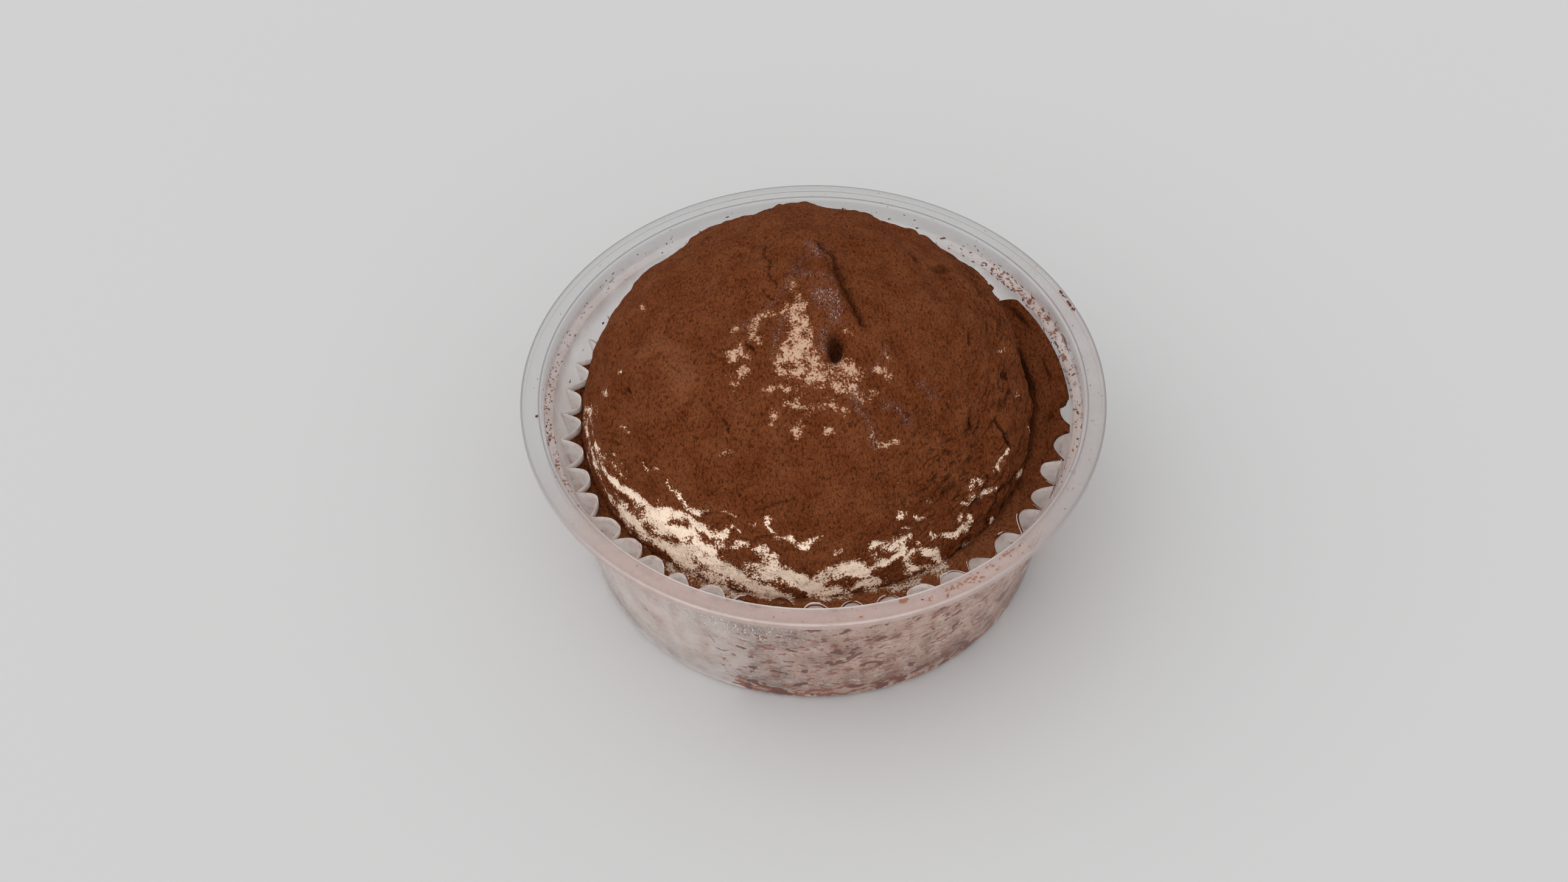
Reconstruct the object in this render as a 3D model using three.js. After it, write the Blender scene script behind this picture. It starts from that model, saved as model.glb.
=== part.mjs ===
// A cocoa-dusted tartufo in a pleated paper case, standing in a clear plastic cup.
// Units are millimetres, +Z is up, and the origin is the centre of the cup's underside.
// The cup is turned from one profile. The food, the loose cocoa and the paper case are closed
// surfaces, each worked out ring by ring from a formula.
import * as THREE from "three";

// ---- Driving dimensions ----
const CUP = {
  rimRadius: 58.5, // outer edge of the flange that takes a lid
  height: 41, // top face of the flange
  flangeWidth: 3.7,
  flangeThickness: 0.8,
  lipDrop: 0.6, // the flange's turned-down outer edge reaches this far below it
  lipWidth: 0.8,
  mouthRounding: 0.9, // from the flange down into the collar
  collarDepth: 4, // upright wall between the flange and the stacking ledge
  ledgeWidth: 1.8,
  wall: 0.7,
  footRadius: 46.5,
  footRounding: 2.4,
  footRingWidth: 3,
  panelRise: 0.6, // the middle of the base stands this far above the table
  segments: 60,
};
const CASE = {
  pleats: 45,
  phase: 7, // degrees: azimuth of one pleat's inner fold
  paper: 0.45, // thickness, measured outwards from the axis
  clearance: 0.35, // to the cup
  floorRadius: 42.2,
  floorGap: 0.3, // between the cup's floor and the paper
  foldRadius: [43.9, 46.6, 47.1], // inner folds, at the heights below
  foldHeight: [4, 18, 33.5], // from the foot of the pleats to the paper's top edge
  foldWidth: 0.17, // flat of an inner fold, as a share of half a pleat each way
  wander: 0.09, // how far a pleat strays sideways, as a share of its pitch
  depthWander: 0.6, // how much further out an inner fold may lie, mm
};
const BALL = {
  centre: new THREE.Vector3(-1.4, 0.5, 31), // on the widest ring
  lean: 1.3, // the crown stands this far to the right of that centre
  radius: 45.2,
  rise: 41.5, // from the widest ring up to the crown
  squareness: 3.2, // of the lower half, which stands flat on the case's floor
  bottom: 2.4,
  segments: 64,
  upperRings: 32,
  lowerRings: 4,
  crownSpread: 1.35, // above 1, rings are closer together round the crown
};
const LUMPS = [
  // wavelength, height and number of crossing waves of the crust's unevenness
  { wavelength: 34, height: 0.45, waves: 9, seed: 3 },
  { wavelength: 13, height: 0.28, waves: 15, seed: 8 },
];
const PEAK = {
  tip: new THREE.Vector2(-0.1, 6.6), // plan position of the pulled tip
  toe: new THREE.Vector2(7.4, -10.5), // where its crest runs out, towards the front
  height: 6,
  climb: 0.9, // power of the crest's rise from toe to tip
  leftSpread: { toe: 15, tip: 2.6 }, // how far the broad slope reaches from the crest
  rightSpread: { toe: 2.8, tip: 1.9 }, // and the steep one
  back: 2.6, // length of the drop behind the tip
};
const PIT = { at: new THREE.Vector2(4.2, -14.2), across: 1.6, along: 2.9, depth: 3.6 };
const COCOA = {
  floor: 2.4, // underside, on the paper
  footInner: 40.3,
  footOuter: 41.5,
  shoulder: 5.2, // height at which the heap has its full width
  tuck: 12, // below this height the heap runs straight down to its foot, under the food
  clearance: 0.6, // to the paper and to the food, measured outwards from the axis
  levelLow: 31, // surface beside the food, at the left
  levelHigh: 32.6, // and at the right
  rightSide: -8, // degrees: azimuth of the high side
  edge: 0.6, // how much higher the powder stands against the paper
  bank: {
    // where the powder is heaped over the paper's top edge, against the cup
    from: [-3, 7], // degrees: azimuths over which it rises
    to: [33, 41], // and falls
    underside: 33.9, // just above the paper
    top: 36.6,
    gapToCup: 0.45,
    clearOfPaper: 0.35, // share of the bank at which it starts to move out over the paper
  },
};

const FULL_TURN = 2 * Math.PI;
const GOLDEN_ANGLE = Math.PI * (3 - Math.sqrt(5));
const { clamp, degToRad, euclideanModulo, lerp, radToDeg, smoothstep } = THREE.MathUtils;

// ---- Shared shape functions ----

// A repeatable number from -0.5 to 0.5 for whole numbers i and salt.
function scatter(i, salt) {
  const x = Math.sin(i * 12.9898 + salt * 78.233) * 43758.5453;
  return x - Math.floor(x) - 0.5;
}

// Smooth unevenness of about unit height: plane waves whose directions follow a golden spiral.
function waves(p, { wavelength, waves: count, seed }) {
  let sum = 0;
  for (let i = 0; i < count; i++) {
    const up = 1 - (2 * i + 1) / count;
    const side = Math.sqrt(1 - up * up);
    const turn = GOLDEN_ANGLE * (i + seed);
    const along = p.x * side * Math.cos(turn) + p.y * side * Math.sin(turn) + p.z * up;
    sum += Math.sin((FULL_TURN * along) / wavelength + FULL_TURN * scatter(i, seed));
  }
  return sum / Math.sqrt(count / 2);
}

// Straight-line reading of ys at x between the stations xs, held level past either end.
function between(x, xs, ys) {
  if (x <= xs[0]) return ys[0];
  for (let i = 1; i < xs.length; i++)
    if (x <= xs[i]) return lerp(ys[i - 1], ys[i], (x - xs[i - 1]) / (xs[i] - xs[i - 1]));
  return ys[ys.length - 1];
}

// Points of an arc round (r, z), both ends included, angles in degrees.
function arc(r, z, radius, from, to, steps) {
  return Array.from({ length: steps + 1 }, (_, i) => {
    const a = degToRad(lerp(from, to, i / steps));
    return new THREE.Vector2(r + radius * Math.cos(a), z + radius * Math.sin(a));
  });
}

function indexed(points, index) {
  const geometry = new THREE.BufferGeometry().setFromPoints(points);
  geometry.setIndex(index);
  geometry.computeVertexNormals();
  return geometry;
}

// Two triangles between the rings that start at a and b, for the stretch from segment i to j. The
// shorter diagonal splits them, so that two skins that run side by side are split alike.
function strip(index, points, a, b, i, j) {
  const corners = [a + i, a + j, b + j, b + i];
  const [p, q, r, s] = corners.map((corner) => points[corner]);
  const order = p.distanceTo(r) < q.distanceTo(s) ? [0, 1, 2, 0, 2, 3] : [0, 1, 3, 1, 2, 3];
  index.push(...order.map((k) => corners[k]));
}

// A closed skin from a first pole, through rings of points, to a last pole. The rings start at the
// outside bottom, so that the faces point outwards.
function poleToPole(first, rings, last) {
  const count = rings[0].length;
  const points = [first, ...rings.flat(), last];
  const index = [];
  for (let i = 0; i < count; i++) {
    const j = (i + 1) % count;
    index.push(0, 1 + j, 1 + i);
    for (let k = 0; k + 1 < rings.length; k++)
      strip(index, points, 1 + k * count, 1 + (k + 1) * count, i, j);
    const top = 1 + (rings.length - 1) * count;
    index.push(top + i, top + j, points.length - 1);
  }
  return indexed(points, index);
}

// A closed ring-shaped skin: the section's points, one ring each, joined round and back to the first.
function roundRing(rings) {
  const count = rings[0].length;
  const points = rings.flat();
  const index = [];
  for (let i = 0; i < count; i++)
    rings.forEach((_, k) =>
      strip(index, points, k * count, ((k + 1) % rings.length) * count, i, (i + 1) % count),
    );
  return indexed(points, index);
}

function polar(azimuth, radius, z) {
  return new THREE.Vector3(radius * Math.cos(azimuth), radius * Math.sin(azimuth), z);
}

// ---- The clear cup ----

const ledgeHeight = CUP.height - CUP.collarDepth;
const mouthRadius = CUP.rimRadius - CUP.flangeWidth;
const collarRadius = mouthRadius - CUP.mouthRounding;
const ledgeRadius = collarRadius - CUP.ledgeWidth;
const cupFloor = CUP.panelRise + CUP.wall;

// Inside radius of the tapered wall below the ledge.
function cupInside(z) {
  return between(z, [CUP.footRounding, ledgeHeight], [CUP.footRadius - CUP.wall, ledgeRadius]);
}

function cupGeometry() {
  const { rimRadius, height, wall, lipDrop, lipWidth, footRadius, footRounding } = CUP;
  const ringInner = footRadius - footRounding - CUP.footRingWidth;
  const ledgeUnderside = ledgeHeight - wall;
  const flangeUnderside = height - CUP.flangeThickness;
  const insideFoot = footRounding - wall;
  const outside = [
    new THREE.Vector2(0, CUP.panelRise),
    new THREE.Vector2(ringInner - CUP.panelRise, CUP.panelRise),
    new THREE.Vector2(ringInner, 0),
    ...arc(footRadius - footRounding, footRounding, footRounding, -90, 0, 3),
    new THREE.Vector2(ledgeRadius + wall, ledgeUnderside),
    new THREE.Vector2(collarRadius + wall, ledgeUnderside),
    new THREE.Vector2(collarRadius + wall, flangeUnderside),
    new THREE.Vector2(rimRadius - lipWidth, flangeUnderside),
    new THREE.Vector2(rimRadius - lipWidth, flangeUnderside - lipDrop),
    new THREE.Vector2(rimRadius, flangeUnderside - lipDrop),
    new THREE.Vector2(rimRadius, height),
  ];
  const inside = [
    ...arc(mouthRadius, height - CUP.mouthRounding, CUP.mouthRounding, 90, 180, 2),
    new THREE.Vector2(collarRadius, ledgeHeight),
    new THREE.Vector2(ledgeRadius, ledgeHeight),
    ...arc(footRadius - footRounding, cupFloor + insideFoot, insideFoot, 0, -90, 2),
    new THREE.Vector2(0, cupFloor),
  ];
  const turned = new THREE.LatheGeometry([...outside, ...inside], CUP.segments);
  return turned.rotateX(Math.PI / 2);
}

// ---- The pleated paper case ----

// Every pleat is a trapezium in plan: two corners on its inner fold and two on its outer fold.
// inward is 1 on an inner fold and 0 on an outer one.
const pleatCorners = Array.from({ length: CASE.pleats }, (_, k) => {
  const pitch = 360 / CASE.pleats;
  const middle = CASE.phase + pitch * (k + CASE.wander * 2 * scatter(k, 1));
  const next = CASE.phase + pitch * (k + 1 + CASE.wander * 2 * scatter((k + 1) % CASE.pleats, 1));
  const outer = (middle + next) / 2;
  const half = (pitch / 2) * CASE.foldWidth;
  const stray = CASE.depthWander * (0.5 + scatter(k, 2));
  return [
    { azimuth: degToRad(middle - half), inward: 1, stray },
    { azimuth: degToRad(middle + half), inward: 1, stray },
    { azimuth: degToRad(outer - half), inward: 0, stray: 0 },
    { azimuth: degToRad(outer + half), inward: 0, stray: 0 },
  ];
}).flat();

// Radius of the paper's inner face at a pleat corner.
function paperInside({ inward, stray }, z) {
  const outerFold = cupInside(z) - CASE.clearance - CASE.paper;
  const innerFold = between(z, CASE.foldHeight, CASE.foldRadius) + stray;
  return lerp(outerFold, innerFold, inward);
}

function caseGeometry() {
  const underside = cupFloor + CASE.floorGap;
  const ringAt = (z, radiusOf) => pleatCorners.map((c) => polar(c.azimuth, radiusOf(c), z));
  const outerAt = (z) => ringAt(z, (c) => paperInside(c, z) + CASE.paper);
  const innerAt = (z) => ringAt(z, (c) => paperInside(c, z));
  return poleToPole(
    new THREE.Vector3(0, 0, underside),
    [
      ringAt(underside, () => CASE.floorRadius),
      ...CASE.foldHeight.map(outerAt),
      ...CASE.foldHeight.toReversed().map(innerAt),
      ringAt(underside + CASE.paper, () => CASE.floorRadius - CASE.paper),
    ],
    new THREE.Vector3(0, 0, underside + CASE.paper),
  );
}

// ---- The tartufo ----

// Half width of the ball at height z, without its unevenness.
function ballRadiusAt(z) {
  const { centre, radius, rise, bottom, squareness } = BALL;
  if (z >= centre.z) return radius * Math.sqrt(Math.max(0, 1 - ((z - centre.z) / rise) ** 2));
  const down = Math.min(1, (centre.z - z) / (centre.z - bottom));
  return radius * (1 - down ** squareness) ** (1 / squareness);
}

// Height of the pulled peak over the crown at a plan position. Its crest climbs from the toe to
// the tip, with a broad slope on the left, a steep one on the right and a short drop at the back.
function peakHeight(x, y) {
  const axis = new THREE.Vector2().subVectors(PEAK.tip, PEAK.toe);
  const length = axis.length();
  axis.normalize();
  const from = new THREE.Vector2(x, y).sub(PEAK.toe);
  const along = from.dot(axis);
  const across = from.cross(axis); // positive to the right
  const share = clamp(along / length, 0, 1);
  const side = across > 0 ? PEAK.rightSpread : PEAK.leftSpread;
  const slope = 1 - smoothstep(Math.abs(across), 0, lerp(side.toe, side.tip, share));
  const drop = 1 - smoothstep(along - length, 0, PEAK.back);
  return PEAK.height * share ** PEAK.climb * drop * slope;
}

function pitDepth(x, y) {
  const across = (x - PIT.at.x) / PIT.across;
  const along = (y - PIT.at.y) / PIT.along;
  return PIT.depth * Math.exp(-(across ** 2 + along ** 2));
}

// A point of the ball's skin at a level from -90 degrees, the bottom, to 90, the crown.
function ballPoint(level, azimuth) {
  const { centre, radius, rise, bottom, squareness } = BALL;
  const power = level < 0 ? 2 / squareness : 1;
  const out = radius * Math.max(0, Math.cos(level)) ** power;
  const up = level < 0 ? bottom - centre.z : rise;
  const p = polar(azimuth, out, up * Math.abs(Math.sin(level)) ** power);
  // The crust is uneven above the case, and smooth where the case hides it.
  const exposed = smoothstep(level, degToRad(4), degToRad(16));
  const away = p.clone().normalize();
  const uneven = LUMPS.reduce((sum, l) => sum + l.height * waves(p, l), 0);
  p.addScaledVector(away, uneven * exposed).add(centre);
  p.x += BALL.lean * Math.max(0, Math.sin(level)) ** 2;
  const onCrown = smoothstep(level, degToRad(40), degToRad(52));
  p.z += onCrown * (peakHeight(p.x, p.y) - pitDepth(p.x, p.y));
  return p;
}

function tartufoGeometry() {
  const { segments, upperRings, lowerRings, crownSpread } = BALL;
  const quarter = Math.PI / 2;
  const levels = [];
  for (let i = 1; i <= lowerRings; i++) levels.push(-quarter * (1 - i / (lowerRings + 1)));
  for (let i = 0; i < upperRings; i++)
    levels.push(quarter * (1 - (1 - i / upperRings) ** crownSpread));
  const rings = levels.map((level) =>
    Array.from({ length: segments }, (_, i) => ballPoint(level, (FULL_TURN * i) / segments)),
  );
  return poleToPole(ballPoint(-quarter, 0), rings, ballPoint(quarter, 0));
}

// ---- The loose cocoa between the food and the paper ----

// Radius, from the cup's axis, of the food's side at an azimuth and height.
function foodSide(azimuth, z) {
  const { x, y } = BALL.centre;
  return ballRadiusAt(z) + x * Math.cos(azimuth) + y * Math.sin(azimuth);
}

// Height of the powder beside the food.
function cocoaLevel(azimuth) {
  const turn = azimuth - degToRad(COCOA.rightSide);
  return lerp(COCOA.levelLow, COCOA.levelHigh, (1 + Math.cos(turn)) / 2);
}

// How much of the bank there is at an azimuth, from 0 to 1.
function bankShare(azimuth) {
  const { from, to } = COCOA.bank;
  const degrees = euclideanModulo(radToDeg(azimuth) + 180, 360) - 180;
  return smoothstep(degrees, ...from) * (1 - smoothstep(degrees, ...to));
}

function cocoaGeometry() {
  const { floor, footInner, footOuter, shoulder, tuck, clearance, edge, bank } = COCOA;
  const foldHeight = CASE.foldHeight[1];
  const inner = (c, z) => polar(c.azimuth, Math.max(foodSide(c.azimuth, z) + clearance, footInner), z);
  const outer = (c, z) => polar(c.azimuth, paperInside(c, z) - clearance, z);
  // A point of the brim. Without the bank it keeps within the case, in even steps up the powder's
  // edge. Where the bank begins it rises clear of the paper, and then moves out towards the cup.
  const brim = (c, step, bankHeight, out) => {
    const share = bankShare(c.azimuth);
    const rise = Math.min(1, share / bank.clearOfPaper);
    const z = lerp(cocoaLevel(c.azimuth) + (step / 3) * edge, bankHeight, rise);
    const reach = out * smoothstep(share, bank.clearOfPaper, 1);
    return polar(
      c.azimuth,
      lerp(paperInside(c, z) - clearance, cupInside(z) - bank.gapToCup, reach),
      z,
    );
  };
  const section = [
    (c) => polar(c.azimuth, footOuter, floor),
    (c) => outer(c, shoulder),
    (c) => outer(c, foldHeight),
    (c) => outer(c, cocoaLevel(c.azimuth)),
    (c) => brim(c, 1, bank.underside, 0),
    (c) => brim(c, 2, bank.underside, 1),
    (c) => brim(c, 3, bank.top, 1),
    (c) => inner(c, cocoaLevel(c.azimuth)),
    (c) => inner(c, foldHeight),
    (c) => inner(c, tuck),
    (c) => polar(c.azimuth, footInner, floor),
  ];
  return roundRing(section.map((at) => pleatCorners.map(at)));
}

// ---- The object ----

const materials = {
  clearPlastic: new THREE.MeshStandardMaterial({
    color: 0xdedcda,
    roughness: 0.25,
    metalness: 0,
    transparent: true,
    opacity: 0.4,
  }),
  whitePaper: new THREE.MeshStandardMaterial({ color: 0xd9d2cf, roughness: 0.85, metalness: 0 }),
  cocoaCrust: new THREE.MeshStandardMaterial({ color: 0x6b3a22, roughness: 0.95, metalness: 0 }),
  loosePowder: new THREE.MeshStandardMaterial({ color: 0x64331c, roughness: 1, metalness: 0 }),
};

function piece(name, geometry, material) {
  const mesh = new THREE.Mesh(geometry, material);
  mesh.name = name;
  return mesh;
}

const tartufoInCup = new THREE.Group();
tartufoInCup.add(
  piece("cup", cupGeometry(), materials.clearPlastic),
  piece("paper_case", caseGeometry(), materials.whitePaper),
  piece("loose_cocoa", cocoaGeometry(), materials.loosePowder),
  piece("tartufo", tartufoGeometry(), materials.cocoaCrust),
);

export default tartufoInCup;
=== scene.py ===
"""The finish of a cocoa-dusted tartufo in its pleated paper case and clear plastic cup.

Sizes are in millimetres until a mesh is made, which turns them into metres. The origin is the
centre of the cup's underside, +Z is up, +X is to the photograph's right and +Y is away from it.
Azimuths run anticlockwise from +X. A level is the angle above the ball's widest ring.
"""

import math

import bpy
import numpy as np
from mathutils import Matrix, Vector


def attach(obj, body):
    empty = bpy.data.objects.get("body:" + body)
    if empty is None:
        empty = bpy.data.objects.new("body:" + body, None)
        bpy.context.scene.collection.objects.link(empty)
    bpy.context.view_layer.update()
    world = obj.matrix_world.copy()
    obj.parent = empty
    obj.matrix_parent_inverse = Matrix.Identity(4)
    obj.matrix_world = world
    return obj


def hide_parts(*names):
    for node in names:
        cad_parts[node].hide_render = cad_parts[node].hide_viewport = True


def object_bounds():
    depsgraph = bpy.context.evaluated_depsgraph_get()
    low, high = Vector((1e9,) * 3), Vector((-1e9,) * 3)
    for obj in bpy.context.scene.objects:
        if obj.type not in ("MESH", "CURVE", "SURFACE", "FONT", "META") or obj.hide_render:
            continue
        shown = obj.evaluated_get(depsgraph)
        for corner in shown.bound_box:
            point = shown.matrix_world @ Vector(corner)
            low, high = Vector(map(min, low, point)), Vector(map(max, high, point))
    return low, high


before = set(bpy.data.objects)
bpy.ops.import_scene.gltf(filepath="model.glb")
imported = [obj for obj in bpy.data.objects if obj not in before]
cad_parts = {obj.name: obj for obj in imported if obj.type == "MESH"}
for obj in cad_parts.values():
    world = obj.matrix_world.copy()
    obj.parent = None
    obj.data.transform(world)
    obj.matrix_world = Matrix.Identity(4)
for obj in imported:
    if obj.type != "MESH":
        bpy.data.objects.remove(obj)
CAD_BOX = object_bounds()

MM = 0.001
PHOTO = (2576, 1449)

# ---- Sizes of the solids, which the finish keeps ----
RIM_RADIUS = 58.5
RIM_HEIGHT = 41.0
FLANGE_WIDTH = 3.7
FLANGE_THICKNESS = 0.8
LIP_DROP = 0.6
LIP_WIDTH = 0.8
MOUTH_ROUNDING = 0.9
COLLAR_DEPTH = 4.0
LEDGE_WIDTH = 1.8
CUP_WALL = 0.7
FOOT_RADIUS = 46.5
FOOT_ROUNDING = 2.4
FOOT_RING_WIDTH = 3.0
PANEL_RISE = 0.6
LEDGE_HEIGHT = RIM_HEIGHT - COLLAR_DEPTH
COLLAR_RADIUS = RIM_RADIUS - FLANGE_WIDTH - MOUTH_ROUNDING
LEDGE_RADIUS = COLLAR_RADIUS - LEDGE_WIDTH
MOUTH_LINE = RIM_RADIUS - FLANGE_WIDTH + 0.05
FAN_RADIUS = 20.0  # inside it, the cup's and the paper's floors are fans of triangles

PLEATS = 45
PLEAT_PHASE = 7.0
PLEAT_WANDER = 0.09
DEPTH_WANDER = 0.6
FOLD_HEIGHT = (4.0, 18.0, 33.5)
FOLD_RADIUS = (43.9, 46.6, 47.1)
PAPER_GAP = 0.35
CASE_FLOOR = 1.6
CASE_FLOOR_RADIUS = 42.2
SOLID_PAPER = 0.45

BALL_CENTRE = np.array([-1.4, 0.5, 31.0])
BALL_LEAN = 1.3
BALL_RADIUS = 45.2
BALL_RISE = 41.5
BALL_SQUARENESS = 3.2
BALL_BOTTOM = 2.4
LUMPS = ((34.0, 0.45, 9, 3), (13.0, 0.28, 15, 8))
PEAK_TIP = np.array([-0.1, 6.6])
PEAK_TOE = np.array([7.4, -10.5])
PEAK_HEIGHT = 6.0
PEAK_CLIMB = 0.9
PEAK_LEFT = (15.0, 2.6)
PEAK_RIGHT = (2.8, 1.9)
PEAK_BACK = 2.6
PIT_AT = (4.2, -14.2)
PIT_SIZE = (1.6, 2.9, 3.6)

COCOA_LEVEL = (31.0, 32.6)
COCOA_RIGHT_SIDE = -8.0
COCOA_EDGE = 0.6
BANK_FROM = (-3.0, 7.0)
BANK_TO = (33.0, 41.0)
BANK_TOP = 36.6
COCOA_TUCK = 0.6
# Where powder has spilled over the paper's edge: azimuth, half width, flatness and height of each spill.
SPILLS = ((-3, 8, 2, 1.0), (46, 6, 2, 0.7), (-100, 8, 4, 0.8), (-82, 14, 4, 0.3), (-38, 24, 4, 0.25))

# ---- The camera that took the photograph, worked out from the rim's two circles ----
FOCAL_PIXELS = 5000.0
CAMERA_ELEVATION = 48.633
CAMERA_DISTANCE = 608.1
RIM_CENTRE_PIXEL = (1335.9, 643.2)


# ---- Arithmetic on arrays ----
def smoothstep(x, low, high):
    """0 below low, 1 above high, and 3t^2 - 2t^3 between them."""
    t = np.clip((x - low) / (high - low), 0, 1)
    return t * t * (3 - 2 * t)


def mix(a, b, t):
    """a where t is 0, b where t is 1, and in proportion between them."""
    return a + (b - a) * t


def window(x, rise_from, rise_to, fall_from, fall_to):
    """0, then rising to 1 between the first two values, and falling back to 0 between the last two."""
    return smoothstep(x, rise_from, rise_to) * (1 - smoothstep(x, fall_from, fall_to))


def bell(x, centre, width, power=2):
    """e to the power of minus (distance from the centre / width)^power. A high power has a flat top."""
    return np.exp(-(((x - centre) / width) ** power))


def signed_degrees(azimuth):
    """An azimuth in degrees from -180 to 180."""
    return (np.degrees(azimuth) + 180) % 360 - 180


def scatter(i, salt):
    """A repeatable number from -0.5 to 0.5: the fractional part of a large sine, less a half."""
    x = np.sin(i * 12.9898 + salt * 78.233) * 43758.5453
    return x - np.floor(x) - 0.5


def waves(points, wavelength, count, seed):
    """Unevenness of about unit height: count plane waves whose directions follow a golden spiral."""
    i = np.arange(count)
    up = 1 - (2 * i + 1) / count
    side = np.sqrt(1 - up * up)
    turn = math.pi * (3 - math.sqrt(5)) * (i + seed)
    along = points @ np.stack([side * np.cos(turn), side * np.sin(turn), up])
    phase = 2 * math.pi * scatter(i, seed)
    return np.sin(2 * math.pi * along / wavelength + phase).sum(-1) / math.sqrt(count / 2)


def lattice(cells, seed):
    """A repeatable value from 0 to 1 for each whole-number triple, by multiplying and folding bits."""
    c = cells.astype(np.uint64)
    h = c[..., 0] * np.uint64(374761393) + c[..., 1] * np.uint64(668265263)
    h = h + c[..., 2] * np.uint64(2246822519) + np.uint64(seed * 3266489917)
    h = (h ^ (h >> np.uint64(15))) * np.uint64(2654435761)
    h = (h ^ (h >> np.uint64(13))) * np.uint64(1274126177)
    return ((h >> np.uint64(16)) & np.uint64(0xFFFF)).astype(float) / 0xFFFF


def noise(points, size, seed):
    """Smooth noise from -1 to 1 with bumps about size across: lattice values blended by smoothstep."""
    turned = points @ TURN_LATTICE / size + 1000
    cell = np.floor(turned)
    part = turned - cell
    weight = part * part * (3 - 2 * part)
    total = 0
    for corner in np.ndindex(2, 2, 2):
        shares = [weight[..., k] if corner[k] else 1 - weight[..., k] for k in range(3)]
        total = total + shares[0] * shares[1] * shares[2] * lattice(cell + corner, seed)
    return 2 * total - 1


def turn_lattice():
    """An oblique rotation, so that the noise's cubic lattice lines up with nothing."""
    a, b = 0.6, 1.1
    about_z = np.array([[math.cos(a), -math.sin(a), 0], [math.sin(a), math.cos(a), 0], [0, 0, 1]])
    about_x = np.array([[1, 0, 0], [0, math.cos(b), -math.sin(b)], [0, math.sin(b), math.cos(b)]])
    return about_z @ about_x


TURN_LATTICE = turn_lattice()


def layered(points, size, seed, layers=3, roughness=0.5):
    """Noise with finer and weaker noise added, each layer half the size of the one before."""
    total = sum(roughness**k * noise(points, size / 2**k, seed + k) for k in range(layers))
    return total / sum(roughness**k for k in range(layers))


def drawn_out(around, up, drift, sizes, seed):
    """Noise that follows a surface, with bumps sizes[0] long round it and sizes[1] long up it. The
    drift moves all of its coordinates, so that its bumps don't lie in rows."""
    return noise(np.stack([(around + drift) / sizes[0], (up + drift) / sizes[1], drift], -1), 1.0, seed)


def polar(azimuth, radius, z):
    """Points at an azimuth and a distance from the cup's axis, at height z."""
    azimuth, radius, z = np.broadcast_arrays(azimuth, radius, z)
    return np.stack([radius * np.cos(azimuth), radius * np.sin(azimuth), z], axis=-1)


# ---- Meshes ----
def grid_quads(rows, columns, wrap=False):
    """Corner numbers of the faces of a grid of points kept row by row. A wrapped row closes on itself."""
    row = np.arange(rows - 1)[:, None] * columns
    column = np.arange(columns if wrap else columns - 1)[None, :]
    following = (column + 1) % columns
    corners = (row + column, row + following, row + columns + following, row + columns + column)
    return np.stack(np.broadcast_arrays(*corners), axis=-1).reshape(-1, 4)


def fan(centre, ring, outwards):
    """Triangles from one point to a closed ring of points."""
    following = np.roll(ring, -1)
    pairs = (ring, following) if outwards else (following, ring)
    return np.stack([np.full(len(ring), centre), *pairs], axis=-1)


def add_piece(name, points, faces, material, attributes, replaced=None):
    """A smooth mesh from points in millimetres and arrays of triangles and quads, with an attribute
    for each named array of values. It stands for the replaced solid."""
    mesh = bpy.data.meshes.new(name)
    mesh.vertices.add(len(points))
    mesh.vertices.foreach_set("co", (points * MM).astype(np.float32).ravel())
    sizes = np.concatenate([np.full(len(f), f.shape[1]) for f in faces])
    mesh.loops.add(int(sizes.sum()))
    mesh.loops.foreach_set("vertex_index", np.concatenate([f.ravel() for f in faces]).astype(np.int32))
    mesh.polygons.add(len(sizes))
    starts = np.concatenate([[0], np.cumsum(sizes)[:-1]])
    mesh.polygons.foreach_set("loop_start", starts.astype(np.int32))
    mesh.polygons.foreach_set("use_smooth", np.ones(len(sizes), bool))
    mesh.materials.append(material)
    for key, values in attributes.items():
        layer = mesh.attributes.new(key, "FLOAT", "POINT")
        layer.data.foreach_set("value", values.astype(np.float32).ravel())
    mesh.update(calc_edges=True)
    mesh.validate()
    piece = bpy.data.objects.new(name, mesh)
    bpy.context.scene.collection.objects.link(piece)
    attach(piece, "root")
    if replaced:
        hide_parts(replaced)


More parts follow.
